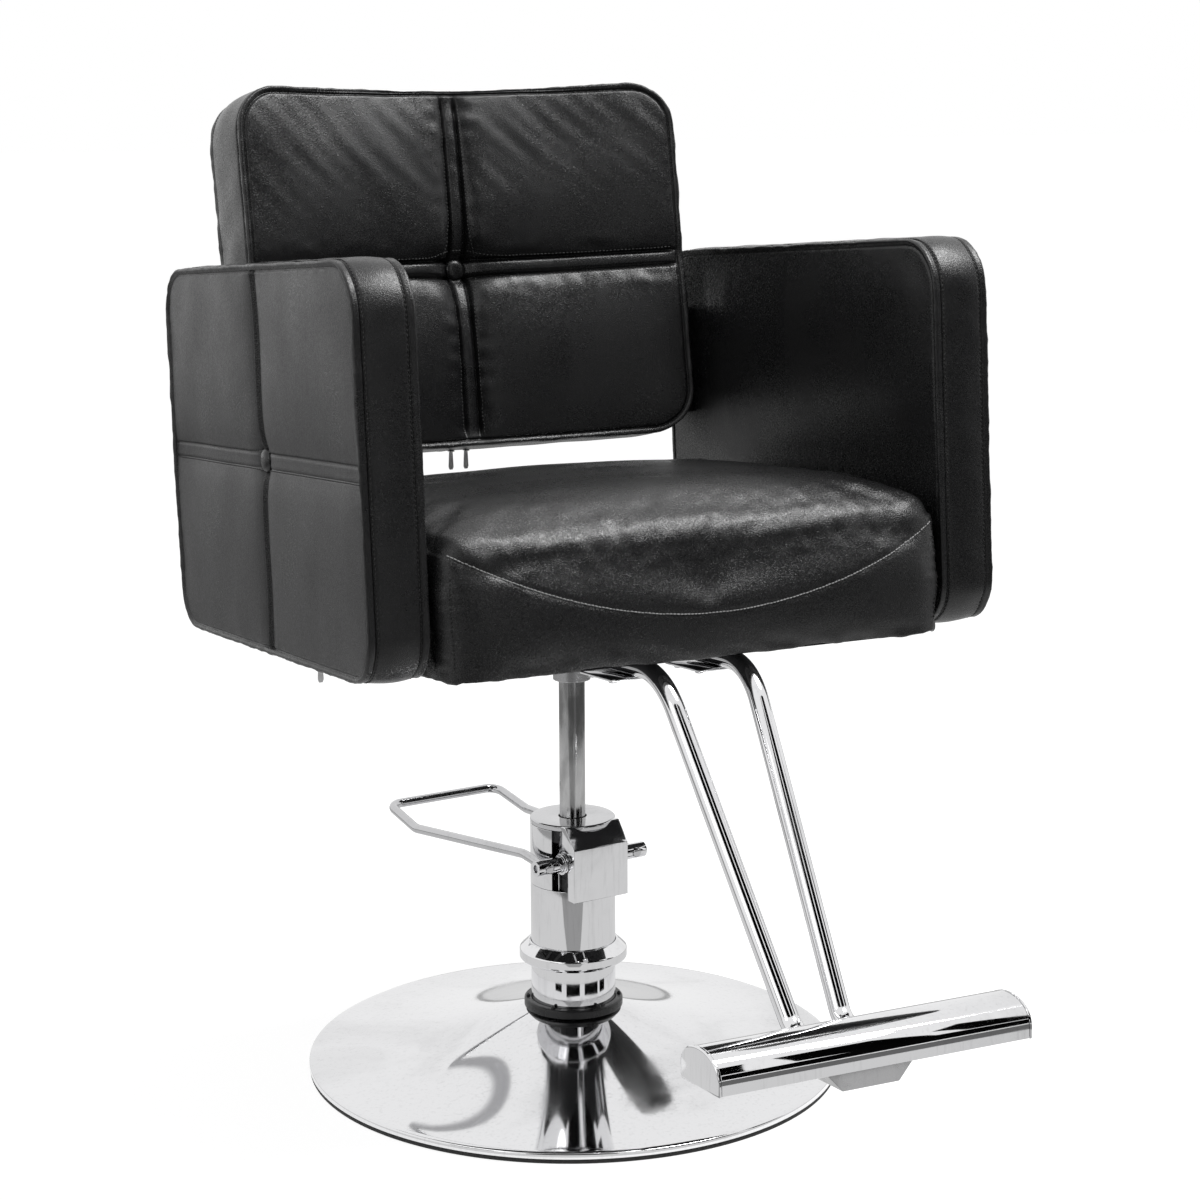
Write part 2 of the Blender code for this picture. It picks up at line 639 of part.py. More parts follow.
# ---------------------------------------------------------------- pedal
def build_pedal(look, head):
    """Shaft, cam, washers and the bent rod, all turning about the shaft."""
    axis = empty("pedal_axis", Matrix.Translation((0.0, -SHAFT_FORWARD, SHAFT_HEIGHT)), head)
    shaft = piece("pedal_shaft", disc(SHAFT_RADIUS, -SHAFT_HALF_LENGTH, SHAFT_HALF_LENGTH, SMALL_ROUND,
                                      axis='X'), look["chrome"], axis)
    hole = WIRE_RADIUS + GAP
    for side, name in ((-1, "left"), (1, "right")):
        centre_x = side * WIRE_HALF_SPACING
        cut(shaft, cutter("wire_hole_" + name, disc(hole, -0.02, 0.02, SMALL_ROUND, axis='Y',
                                                    centre=(centre_x, 0.0, 0.0)), axis))
        end = side * SHAFT_HALF_LENGTH
        cut(shaft, cutter("end_bore_" + name, disc(SHAFT_END_BORE, end - 0.006, end + 0.006, SMALL_ROUND,
                                                   axis='X'), axis))
        inner = side * (HEAD_HALF_WIDTH + GAP)
        outer = inner + side * WASHER_THICKNESS
        piece("shaft_washer_" + name, ring(SHAFT_RADIUS + GAP, WASHER_RADIUS, min(inner, outer),
                                           max(inner, outer), SMALL_ROUND, axis='X'), look["chrome"], axis)

    front = -SHAFT_RADIUS - 0.001
    corners = [(WIRE_HALF_SPACING, front, 0.0), (WIRE_HALF_SPACING, -front, 0.0),
               (WIRE_HALF_SPACING, PEDAL_STRAIGHT, PEDAL_START_RISE),
               (PEDAL_WIDE_HALF, PEDAL_WIDE_AT, -PEDAL_DROP), (PEDAL_END_HALF, PEDAL_REACH, -PEDAL_END_DROP)]
    both = [(-x, y, z) for x, y, z in corners] + list(reversed(corners))
    gentle = PEDAL_BEND_RADIUS * 2
    radii = [gentle, gentle, gentle, PEDAL_BEND_RADIUS, PEDAL_BEND_RADIUS, gentle, gentle, gentle]
    piece("pedal_loop", swept(filleted(both, radii, 3), WIRE_RADIUS, 10), look["chrome"], axis)

    seat_radius = SHAFT_RADIUS + GAP
    outline = arc((0.0, 0.0), seat_radius, 60, -60, 8)
    outline += [(CAM_REACH * 0.39, -CAM_ROOT), (CAM_REACH, -CAM_NOSE), (CAM_REACH, CAM_NOSE * 0.5),
                (CAM_REACH * 0.39, CAM_ROOT)]
    outline = [(-forward, height) for forward, height in outline]
    piece("pedal_cam", extruded(outline, -CAM_WIDTH / 2, CAM_WIDTH / 2), look["steel"], axis, smooth=False)


def build_plunger(look, head, block_bottom, block_top):
    slide = empty("plunger_axis", Matrix.Translation((0.0, -PLUNGER_FORWARD, block_top)), head)
    low = block_bottom - block_top + 0.003
    top = SHAFT_HEIGHT - CAM_ROOT - 0.0004 - block_top
    collar = 0.0016
    profile = [(0.0, low), (PLUNGER_RADIUS, low), (PLUNGER_RADIUS, top - collar),
               (PLUNGER_COLLAR_RADIUS, top - collar), (PLUNGER_COLLAR_RADIUS, top), (0.0, top)]
    piece("pump_plunger", turned(profile, SMALL_ROUND), look["steel"], slide)
    clear = GAP + SPRING_WIRE_RADIUS
    radius = PLUNGER_RADIUS + SPRING_WIRE_RADIUS + GAP
    per_turn = 10
    height = top - collar - 2 * clear
    count = SPRING_COILS * per_turn
    path = []
    for step in range(count + 1):
        angle = 2.0 * math.pi * step / per_turn
        rise = clear + height * step / count
        path.append(Vector((radius * math.cos(angle), radius * math.sin(angle), rise)))
    pitch = height / SPRING_COILS
    print("plunger spring: least gap between turns", round((pitch - 2 * SPRING_WIRE_RADIUS) * 1000, 2), "mm")
    piece("plunger_spring", swept(path, SPRING_WIRE_RADIUS, 5), look["spring"], slide)


# ---------------------------------------------------------------- piston and rod
def build_piston(look, low):
    high = low + PISTON_HEIGHT
    outer = BARREL_BORE_RADIUS - GAP
    groove = outer - SEAL_DEPTH
    bore = ROD_STUB_RADIUS + GAP
    middle = (low + high) / 2
    half = SEAL_HEIGHT / 2
    profile = [(bore, low), (outer, low), (outer, middle - half - GAP), (groove, middle - half - GAP),
               (groove, middle + half + GAP), (outer, middle + half + GAP), (outer, high), (bore, high)]
    piece("piston_head", turned(profile, ROUND), look["steel"])
    piece("piston_seal", ring(groove + GAP, outer, middle - half, middle + half), look["rubber"])
    piece("rod_thrust_ring", ring(bore, ROD_RADIUS + 0.003, high + GAP, high + GAP + THRUST_RING_HEIGHT),
          look["bronze"])
    return high + 2 * GAP + THRUST_RING_HEIGHT


def build_rod(look, piston_bottom, shoulder, rod_top):
    """The lift rod, with the nut that holds the piston on its lower end."""
    low = piston_bottom - ROD_NUT_HEIGHT
    nut = ROD_STUB_RADIUS + 0.004
    profile = [(0.0, low), (nut, low), (nut, piston_bottom - GAP), (ROD_STUB_RADIUS, piston_bottom - GAP),
               (ROD_STUB_RADIUS, shoulder), (ROD_RADIUS, shoulder), (ROD_RADIUS, rod_top), (0.0, rod_top)]
    piece("piston_rod", turned(profile, SMALL_ROUND * 2), look["steel"])


# ---------------------------------------------------------------- what carries the seat
def build_mounting(look, seat):
    """Socket, plate, two cross rails, the seat's board and the lining under it."""
    rail_top = SEAT_BOTTOM - LINING_THICKNESS - 2 * GAP
    rail_bottom = rail_top - RAIL_HEIGHT
    plate_top = rail_bottom - GAP
    plate_bottom = plate_top - MOUNT_PLATE_THICKNESS
    lean = math.tan(math.radians(SEAT_RECLINE)) * SOCKET_RADIUS
    socket_bottom = SEAT_LEVEL - SOCKET_DROP
    socket = piece("rod_socket", disc(SOCKET_RADIUS, socket_bottom, SEAT_LEVEL + plate_top),
                   look["steel"])
    rod_depth = SEAT_LEVEL + plate_bottom - lean - 0.002
    cut(socket, cutter("socket_bore", disc(ROD_RADIUS + GAP, socket_bottom - 0.01, rod_depth + GAP,
                                           SMALL_ROUND * 2)))
    half = MOUNT_PLATE_SIZE / 2
    trim = cutter("socket_trim", block((-half, -half, plate_bottom - GAP),
                                        (half, half, plate_top + SOCKET_RADIUS)), seat)
    cut(socket, trim)

    plate = piece("mount_plate", block((-half, -half, plate_bottom), (half, half, plate_top)), look["black"], seat)
    rounded(plate, 0.002)

    plate_outer = ARM_INNER - GAP
    plate_inner = plate_outer - ARM_PLATE_THICKNESS
    rail_end = plate_inner - GAP
    for side, name in ((-1, "left"), (1, "right")):
        near, far = sorted((side * plate_inner, side * plate_outer))
        strip = block((near, ARM_PLATE_FRONT, rail_bottom), (far, ARM_PLATE_REAR, ARM_PLATE_TOP))
        piece("arm_plate_" + name, strip, look["black"], seat, smooth=False)
    for name, y in (("front_rail", RAIL_FRONT_Y), ("rear_rail", RAIL_REAR_Y)):
        near, far = y - RAIL_WIDTH / 2, y + RAIL_WIDTH / 2
        wall = RAIL_WALL
        channel = [(near, rail_bottom), (far, rail_bottom), (far, rail_top), (far - wall, rail_top),
                   (far - wall, rail_bottom + wall), (near + wall, rail_bottom + wall), (near + wall, rail_top),
                   (near, rail_top)]
        piece(name, extruded(channel, -rail_end, rail_end), look["black"], seat, smooth=False)

    inset = BOARD_INSET + GAP
    board = piece("seat_board", block((-SEAT_HALF_WIDTH + inset, SEAT_FRONT + inset, SEAT_BOTTOM),
                                      (SEAT_HALF_WIDTH - inset, SEAT_REAR - inset,
                                       SEAT_BOTTOM + BOARD_THICKNESS)), look["board"], seat)
    rounded(board, 0.003)
    hem = 0.010
    sheet = rounded_outline((-SEAT_HALF_WIDTH + hem, SEAT_FRONT + hem), (SEAT_HALF_WIDTH - hem, SEAT_REAR - hem),
                            [SEAT_CORNER - hem / 2] * 4, 3, 1)
    piece("seat_lining", extruded(sheet, rail_top + GAP, SEAT_BOTTOM - GAP, 'XY'), look["lining"], seat,
          smooth=False)
    return rail_top, rod_depth, plate_inner - GAP, ARM_PLATE_TOP + GAP


# ---------------------------------------------------------------- seat cushion
def build_seat_cushion(look, seat, side_limit, side_height):
    """Box cushion with a crown on top and a nose that rolls over the front edge."""
    outline = rounded_outline((-SEAT_HALF_WIDTH, SEAT_FRONT), (SEAT_HALF_WIDTH, SEAT_REAR),
                              [SEAT_CORNER] * 4, 4, 5)
    nose = 0.110
    nose_start = SEAT_FRONT + nose
    middle_y = (SEAT_FRONT + SEAT_REAR) / 2
    half_y = (SEAT_REAR - SEAT_FRONT) / 2

    def top(x, y, reach):
        crown = SEAT_CROWN * (1 - (x / SEAT_HALF_WIDTH) ** 2) * (1 - ((y - middle_y) / half_y) ** 4)
        over = max(0.0, (nose_start - y) / nose)
        return SEAT_TOP - SEAT_CROWN + crown - SEAT_NOSE_DROP * over ** 2.2 - 0.010 * max(0.0, reach - 0.9) / 0.1

    def bottom(x, y, reach):
        return SEAT_BOTTOM + 0.002 * max(0.0, reach - 0.9) / 0.1

    form = padded(outline, [0.3, 0.55, 0.75, 0.9, 0.96, 1.0], top, bottom, SEAT_SIDE_BULGE, 4)
    cushion = piece("seat_cushion", form, look["leather"], seat)
    cut(cushion, cutter("board_recess", block((-SEAT_HALF_WIDTH + BOARD_INSET, SEAT_FRONT + BOARD_INSET,
                                               SEAT_BOTTOM - BOARD_THICKNESS),
                                              (SEAT_HALF_WIDTH - BOARD_INSET, SEAT_REAR - BOARD_INSET,
                                               SEAT_BOTTOM + BOARD_THICKNESS + GAP)), seat))
    for side, name in ((-1, "left"), (1, "right")):
        near, far = sorted((side * side_limit, side * (side_limit + 0.03)))
        cut(cushion, cutter("arm_plate_space_" + name, block((near, ARM_PLATE_FRONT - GAP, SEAT_BOTTOM - 0.01),
                                                             (far, ARM_PLATE_REAR + GAP, side_height)), seat))


# ---------------------------------------------------------------- arms
def build_arm(look, seat, side, name):
    """An upholstered slab: crowned faces, a boxed band round the edge, one deep button outside."""
    outline = rounded_outline((ARM_FRONT, ARM_BOTTOM), (ARM_REAR, ARM_TOP),
                              [ARM_BOTTOM_CORNER, ARM_TOP_CORNER, ARM_TOP_CORNER, ARM_BOTTOM_CORNER], 5, 3)
    middle = ((ARM_FRONT + ARM_REAR) / 2, (ARM_BOTTOM + ARM_TOP) / 2)

    def crown(y, z, reach):
        return ARM_CROWN * (1 - reach ** 3)

    def outer(y, z, reach):
        from_button = math.hypot(y - middle[0], z - middle[1])
        seam = min(abs(y - middle[0]), abs(z - middle[1]))
        pull = dip(from_button, ARM_TUFT, 0.035) + dip(seam, 0.0015, 0.006)
        return ARM_INNER + ARM_THICKNESS + crown(y, z, reach) - ARM_CROWN - pull + 0.002 * reach

    def inner(y, z, reach):
        above_seat = min(1.0, max(0.0, (z - SEAT_TOP) / ARM_PUFF_RISE))
        ahead_of_back = min(1.0, max(0.0, (BACK_EDGE_Y - y) / ARM_PUFF_RISE))
        puff = ARM_INNER_PUFF * above_seat * ahead_of_back * (1 - reach ** 2) ** 2
        return ARM_INNER + ARM_INNER_CROWN * reach ** 3 - puff

    form = padded(outline, [0.10, 0.25, 0.5, 0.75, 0.92, 1.0], outer, inner, ARM_BAND_BULGE, 3)
    turn = Matrix(((0, 0, side, 0), (1, 0, 0, 0), (0, 1, 0, 0), (0, 0, 0, 1)))
    cushion = piece("arm_" + name + "_cushion", place(form, turn), look["leather"], seat)
    pit = outer(*middle, 0.0)
    stand = Matrix.Translation((side * pit, *middle)) @ Matrix.Rotation(side * math.pi / 2, 4, 'Y')
    build_button("arm_" + name, look, seat, cushion, stand)


def build_button(name, look, seat, cushion, stand):
    """A covered button, sunk into a flat seat in the cushion that it draws in."""
    low = -BUTTON_SINK
    cut(cushion, cutter(name + "_button_seat", place(disc(BUTTON_RADIUS + GAP, low - GAP, 0.03, SMALL_ROUND), stand),
                        seat))
    profile = [(0.0, low), (BUTTON_RADIUS * 0.92, low), (BUTTON_RADIUS, low + BUTTON_HEIGHT * 0.35),
               (BUTTON_RADIUS * 0.8, low + BUTTON_HEIGHT * 0.8), (BUTTON_RADIUS * 0.45, low + BUTTON_HEIGHT),
               (0.0, low + BUTTON_HEIGHT)]
    piece(name + "_button", place(turned(profile, SMALL_ROUND), stand), look["leather"], seat)


# ---------------------------------------------------------------- backrest
def back_place():
    """The backrest's own frame: x across, y up along the lean, z towards the sitter."""
    lean = Matrix.Rotation(math.radians(-BACK_LEAN), 4, 'X')
    upright = Matrix(((1, 0, 0, 0), (0, 0, -1, 0), (0, 1, 0, 0), (0, 0, 0, 1)))
    return Matrix.Translation((0.0, BACK_EDGE_Y, BACK_BOTTOM)) @ lean @ upright


def build_backrest(look, seat):
    """A curved box cushion, sewn into quarters and drawn in by one button."""
    height = (BACK_TOP - BACK_BOTTOM) / math.cos(math.radians(BACK_LEAN))
    outline = rounded_outline((-BACK_HALF_WIDTH, 0.0), (BACK_HALF_WIDTH, height), [BACK_CORNER] * 4, 5, 5)
    middle_z = height / 2

    def hollow(x):
        return -BACK_HOLLOW * (1 - (x / BACK_HALF_WIDTH) ** 2)

    def front(x, z, reach):
        quarter = BACK_CROWN * (1 - reach ** 3)
        seams = dip(min(abs(x), abs(z - middle_z)), CHANNEL_DEPTH, CHANNEL_WIDTH / 2)
        tuft = dip(math.hypot(x, z - middle_z), BACK_TUFT, 0.040)
        return hollow(x) + quarter - seams * (1 - reach ** 6) - tuft

    def back(x, z, reach):
        return hollow(x) - BACK_THICKNESS

    form = padded(outline, [0.08, 0.2, 0.4, 0.6, 0.8, 0.93, 1.0], front, back, BACK_BAND_BULGE, 3)
    cushion = piece("back_cushion", place(form, back_place()), look["leather"], seat)
    stand = back_place() @ Matrix.Translation((0.0, middle_z, front(0.0, middle_z, 0.0)))
    build_button("back", look, seat, cushion, stand)

    margin = 0.022
    skin = rounded_outline((-BACK_HALF_WIDTH + margin, margin), (BACK_HALF_WIDTH - margin, height - margin),
                           [BACK_CORNER - margin / 2] * 4, 4, 4)

    def panel_front(x, z, reach):
        return back(x, z, reach) - 0.0012

    def panel_back(x, z, reach):
        return back(x, z, reach) - 0.0012 - BACK_PANEL_THICKNESS

    panel = padded(skin, [0.25, 0.5, 0.75, 1.0], panel_front, panel_back, 0.0, 0)
    piece("back_panel", place(panel, back_place()), look["leather"], seat)

    low = BRACKET_HEIGHT_ABOVE_BACK
    for side, name in ((-1, "left"), (1, "right")):
        inner = BACK_HALF_WIDTH + BACK_BAND_BULGE + GAP
        outer = inner + BRACKET_THICKNESS
        near, far = sorted((side * inner, side * outer))
        centre = -BACK_THICKNESS / 2
        plate = block((near, low, centre - BRACKET_WIDTH / 2), (far, low + BRACKET_HEIGHT, centre + BRACKET_WIDTH / 2))
        bracket = piece("back_bracket_" + name, place(plate, back_place()), look["steel"], seat, smooth=False)
        rounded(bracket, 0.0015)


# ---------------------------------------------------------------- footrest
def build_footrest(look, seat, rail_top):
    tube_z = rail_top - TUBE_RADIUS
    slope = math.radians(TUBE_SLOPE)
    bar_bottom = -BAR_CENTRE_DROP - BAR_HEIGHT / 2
    bar_rear = BAR_FRONT_Y + BAR_DEPTH
    heel_z = bar_bottom + TUBE_RADIUS
    heel_y = TUBE_KNEE_Y - (tube_z - heel_z) / math.tan(slope)
    for side, name in ((-1, "left"), (1, "right")):
        top_x, low_x = side * TUBE_SPACING_TOP / 2, side * TUBE_SPACING_BAR / 2
        corners = [(top_x, TUBE_START_Y, tube_z), (top_x, TUBE_KNEE_Y, tube_z), (low_x, heel_y, heel_z),
                   (low_x, bar_rear - BAR_DEPTH / 4, heel_z)]
        path = filleted(corners, [TUBE_BEND_RADIUS, TUBE_HEEL_RADIUS], 5)
        tube = piece("footrest_tube_" + name, swept(path, TUBE_RADIUS, 14, TUBE_RADIUS - TUBE_WALL),
                     look["chrome"], seat)
        keep_out = cutter("bar_space_" + name, bar_solid(bar_bottom, GAP), seat)
        cut(tube, keep_out)
        clamp_low = tube_z - TUBE_RADIUS - GAP - CLAMP_THICKNESS
        half = CLAMP_WIDTH / 2
        plate = block((top_x - half, CLAMP_FRONT_Y, clamp_low),
                      (top_x + half, CLAMP_FRONT_Y + CLAMP_LENGTH, clamp_low + CLAMP_THICKNESS))
        clamp = piece("tube_clamp_" + name, plate, look["chrome"], seat, smooth=False)
        rounded(clamp, 0.001)

    bar = piece("footrest_bar", bar_solid(bar_bottom, 0.0), look["chrome"], seat)
    cut(bar, cutter("bar_hollow", bar_solid(bar_bottom, -BAR_WALL, 0.02), seat))
    for side, name in ((-1, "left"), (1, "right")):
        near, far = sorted((side * (BAR_HALF_LENGTH + GAP), side * (BAR_HALF_LENGTH + GAP + END_CAP_THICKNESS)))
        cap = extruded(bar_outline(bar_bottom, 0.0004), near, far)
        piece("footrest_cap_" + name, cap, look["chrome"], seat, smooth=False)

    top = bar_bottom - GAP
    low = top - FOOT_BRACKET_THICKNESS
    outline = [(-FOOT_BRACKET_HALF_BOTTOM, low), (FOOT_BRACKET_HALF_BOTTOM, low), (FOOT_BRACKET_HALF_TOP, top),
               (-FOOT_BRACKET_HALF_TOP, top)]
    shoe = extruded(outline, BAR_FRONT_Y + FOOT_BRACKET_FRONT, bar_rear + FOOT_BRACKET_REAR, 'XZ')
    piece("footrest_bracket", shoe, look["chrome"], seat, smooth=False)


def bar_outline(bottom, grow):
    """D-shaped section of the footrest bar in the (y, z) plane: flat below, domed on top."""
    front, rear = BAR_FRONT_Y - grow, BAR_FRONT_Y + BAR_DEPTH + grow
    low, high = bottom - grow, bottom + BAR_HEIGHT + grow
    middle = (front + rear) / 2
    half = (rear - front) / 2
    skirt = low + BAR_HEIGHT * 0.28
    points = [(front, low), (rear, low)]
    for step in range(11):
        angle = math.pi * step / 10
        points.append((middle + half * math.cos(angle), skirt + (high - skirt) * math.sin(angle) ** 0.8))
    return points


def bar_solid(bottom, grow, longer=0.0):
    return extruded(bar_outline(bottom, grow), -BAR_HALF_LENGTH - longer - max(grow, 0.0),
                    BAR_HALF_LENGTH + longer + max(grow, 0.0))


# ---------------------------------------------------------------- zips
def build_zip(look, parent, name, hinge):
    """The pull tab of a zip's slider, which swings from the seam above it."""
    axis = empty(name + "_axis", hinge, parent)
    width = ZIP_PULL_WIDTH / 2
    shoulder = ZIP_PULL_LENGTH - ZIP_PULL_WIDTH / 2
    outline = [(-width * 0.6, -ZIP_PULL_LENGTH), (width * 0.6, -ZIP_PULL_LENGTH), (width, -shoulder),
               (width * 0.7, 0.0), (-width * 0.7, 0.0), (-width, -shoulder)]
    pull = extruded(outline, -ZIP_PULL_THICKNESS / 2, ZIP_PULL_THICKNESS / 2, 'XZ')
    piece(name + "_pull", pull, look["steel"], axis, smooth=False)


def build_zips(look, seat):
    upright = Matrix.Rotation(math.radians(SEAT_RECLINE), 4, 'X')
    drop = 3 * GAP
    for number, x in enumerate(BACK_ZIP_X, start=1):
        seam = back_place() @ Vector((x, -drop - BACK_BAND_BULGE, -BACK_HOLLOW - BACK_THICKNESS * 0.45))
        build_zip(look, seat, "back_zip_" + str(number), Matrix.Translation(seam) @ upright)
    for side, name in ((-1, "left"), (1, "right")):
        seam = Vector((side * (ARM_INNER + ARM_THICKNESS / 2), ARM_ZIP_Y, ARM_BOTTOM - ARM_BAND_BULGE - drop))
        build_zip(look, seat, "arm_zip_" + name, Matrix.Translation(seam) @ upright)


# ---------------------------------------------------------------- assembly
def build_chair():
    clear_scene()
    look = looks()
    head = empty("pump_head_frame", Matrix.Rotation(math.radians(HEAD_YAW), 4, 'Z'))
    seat = empty("seat_frame", Matrix.Translation((0.0, 0.0, SEAT_LEVEL))
                 @ Matrix.Rotation(math.radians(-SEAT_RECLINE), 4, 'X'))
    build_foot(look)
    cap_bottom, foot_top = build_column(look)
    build_sleeve(look, head, cap_bottom)
    block_bottom, block_top = build_pump_head(look, head, cap_bottom)
    build_pedal(look, head)
    build_plunger(look, head, block_bottom, block_top)
    piston_bottom = foot_top + PISTON_END_CLEARANCE + LIFT_DOWN + ROD_NUT_HEIGHT
    shoulder = build_piston(look, piston_bottom)
    rail_top, rod_top, side_limit, side_height = build_mounting(look, seat)
    build_rod(look, piston_bottom, shoulder, rod_top)
    build_seat_cushion(look, seat, side_limit, side_height)
    for side, name in ((-1, "left"), (1, "right")):
        build_arm(look, seat, side, name)
    build_backrest(look, seat)
    build_footrest(look, seat, rail_top)
    build_zips(look, seat)


build_chair()
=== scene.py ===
"""Salon styling chair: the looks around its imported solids, built in the order the chair is assembled."""
import json
import math
import bmesh
import bpy
import numpy as np
from mathutils import Matrix, Vector
from mathutils.bvhtree import BVHTree

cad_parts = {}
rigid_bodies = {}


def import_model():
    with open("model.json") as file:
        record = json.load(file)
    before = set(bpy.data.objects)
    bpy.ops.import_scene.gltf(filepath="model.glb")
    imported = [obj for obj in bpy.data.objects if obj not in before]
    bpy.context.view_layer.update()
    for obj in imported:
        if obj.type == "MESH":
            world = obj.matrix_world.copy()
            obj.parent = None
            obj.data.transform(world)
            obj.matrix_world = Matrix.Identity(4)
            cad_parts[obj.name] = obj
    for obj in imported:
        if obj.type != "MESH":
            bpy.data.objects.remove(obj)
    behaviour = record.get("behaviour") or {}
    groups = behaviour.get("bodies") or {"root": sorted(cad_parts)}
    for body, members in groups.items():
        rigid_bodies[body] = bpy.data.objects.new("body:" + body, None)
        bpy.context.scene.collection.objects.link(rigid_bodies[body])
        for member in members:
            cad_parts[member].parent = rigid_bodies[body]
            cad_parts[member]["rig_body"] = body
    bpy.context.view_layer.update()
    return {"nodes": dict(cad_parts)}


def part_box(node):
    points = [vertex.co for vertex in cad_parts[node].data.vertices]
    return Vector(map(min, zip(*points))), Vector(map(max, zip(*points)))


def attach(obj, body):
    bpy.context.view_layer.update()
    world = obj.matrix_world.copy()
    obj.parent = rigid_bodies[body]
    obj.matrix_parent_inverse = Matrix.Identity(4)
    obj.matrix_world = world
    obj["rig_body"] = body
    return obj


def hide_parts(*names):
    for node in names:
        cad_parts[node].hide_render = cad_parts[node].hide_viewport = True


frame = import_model()


# ---------------------------------------------------------------- camera
# A long lens a little above the arms, from the chair's left front. It looks at a point just beside
# the column, at half the chair's height.
def in_scene(name, data):
    """A new object, linked to the scene."""
    made = bpy.data.objects.new(name, data)
    bpy.context.scene.collection.objects.link(made)
    return made


turn_left, look_down, tilt = math.radians(-25.64), math.radians(11.47), math.radians(-0.2)
aim_aside, aim_height, distance = 0.02949, 0.49644, 2.71236
aim = Vector((aim_aside * math.cos(turn_left), aim_aside * math.sin(turn_left), aim_height))
away = Vector((math.sin(turn_left) * math.cos(look_down), -math.cos(turn_left) * math.cos(look_down),
               math.sin(look_down)))
level = (-away).cross(Vector((0.0, 0.0, 1.0))).normalized()
upright = level.cross(-away)
across = level * math.cos(tilt) + upright * math.sin(tilt)
raised = upright * math.cos(tilt) - level * math.sin(tilt)
stand = aim + away * distance
lens = bpy.data.cameras.new("photo_camera")
lens.sensor_width = 36.0
lens.lens = 79.218
camera = in_scene("photo_camera", lens)
camera.matrix_world = Matrix(((across.x, raised.x, away.x, stand.x), (across.y, raised.y, away.y, stand.y),
                              (across.z, raised.z, away.z, stand.z), (0.0, 0.0, 0.0, 1.0)))
bpy.context.scene.camera = camera
bpy.context.scene.view_settings.view_transform = 'Standard'


# ---------------------------------------------------------------- studio
# White room: a pale floor that keeps the chair's shadow, an even white surround, one wide lamp
# overhead, and dark cloths behind the camera that only the polished metal and the gloss pick up.
def shader_node(tree, kind, inputs=None, **settings):
    """A node with its settings made and its inputs set, or linked where a socket is given."""
    made = tree.nodes.new(kind)
    for key, value in settings.items():
        setattr(made, key, value)
    for key, value in (inputs or {}).items():
        if isinstance(value, bpy.types.NodeSocket):
            tree.links.new(value, made.inputs[key])
        else:
            made.inputs[key].default_value = value
    return made


def seen_directly(tree):
    """1 for rays from the camera, off gloss or through glass; 0 for the rest."""
    path = shader_node(tree, "ShaderNodeLightPath")
    both = shader_node(tree, "ShaderNodeMath", operation='MAXIMUM',
                       inputs={0: path.outputs["Is Camera Ray"], 1: path.outputs["Is Glossy Ray"]})
    every = shader_node(tree, "ShaderNodeMath", operation='MAXIMUM',
                        inputs={0: both.outputs[0], 1: path.outputs["Is Transmission Ray"]})
    return every.outputs[0]


surround = bpy.data.worlds.new("white_surround")
bpy.context.scene.world = surround
surround.use_nodes = True
tree = surround.node_tree
tree.nodes.clear()
shown = shader_node(tree, "ShaderNodeBackground", {"Color": (1, 1, 1, 1), "Strength": 1.0})
lighting = shader_node(tree, "ShaderNodeBackground", {"Color": (1, 1, 1, 1), "Strength": 0.36})
mixed = shader_node(tree, "ShaderNodeMixShader",
                    {0: seen_directly(tree), 1: lighting.outputs[0], 2: shown.outputs[0]})
shader_node(tree, "ShaderNodeOutputWorld", {"Surface": mixed.outputs[0]})


def flat_sheet(name, corners, finish, mirrored_only=False):
    """A flat piece of the studio. One that is mirrored only shows in gloss and does nothing else."""
    mesh = bpy.data.meshes.new(name)
    mesh.from_pydata(corners, [], [tuple(range(len(corners)))])
    mesh.materials.append(finish)
    sheet = in_scene(name, mesh)
    if mirrored_only:
        for ray in ("camera", "diffuse", "shadow", "transmission", "volume_scatter"):
            setattr(sheet, "visible_" + ray, False)


pale = bpy.data.materials.new("pale_floor")
pale.use_nodes = True
tree = pale.node_tree
tree.nodes.clear()
glow = shader_node(tree, "ShaderNodeEmission", {"Color": (1, 1, 1, 1), "Strength": 0.84})
film = shader_node(tree, "ShaderNodeBsdfDiffuse", {"Color": (0.47, 0.47, 0.47, 1)})
lit = shader_node(tree, "ShaderNodeAddShader", {0: glow.outputs[0], 1: film.outputs[0]})
plain = shader_node(tree, "ShaderNodeBsdfDiffuse", {"Color": (0.60, 0.60, 0.60, 1)})
mixed = shader_node(tree, "ShaderNodeMixShader",
                    {0: seen_directly(tree), 1: plain.outputs[0], 2: lit.outputs[0]})
shader_node(tree, "ShaderNodeOutputMaterial", {"Surface": mixed.outputs[0]})
FLOOR_HALF, FLOOR_LEVEL = 30, -0.0004
flat_sheet("floor", [(x * FLOOR_HALF, y * FLOOR_HALF, FLOOR_LEVEL) for x, y in ((-1, -1), (1, -1), (1, 1), (-1, 1))],
           pale)

cloth = bpy.data.materials.new("dark_cloth")
cloth.use_nodes = True
shader = cloth.node_tree.nodes["Principled BSDF"]
shader.inputs["Base Color"].default_value = (0.004, 0.004, 0.004, 1)
shader.inputs["Specular IOR Level"].default_value = 0.0
for name, start, end, low, high in (
        ("cloth_by_camera", (-3.2, -3.3), (-0.45, -3.3), 0.25, 5.6),
        ("cloth_front_right", (0.30, -3.3), (3.2, -3.3), 0.25, 5.6),
        ("cloth_left", (-3.4, -2.2), (-3.4, -0.9), 0.5, 2.8),
        ("cloth_right", (2.9, -2.4), (2.9, -1.2), 0.25, 2.6)):
    flat_sheet(name, [(*start, low), (*end, low), (*end, high), (*start, high)], cloth, mirrored_only=True)

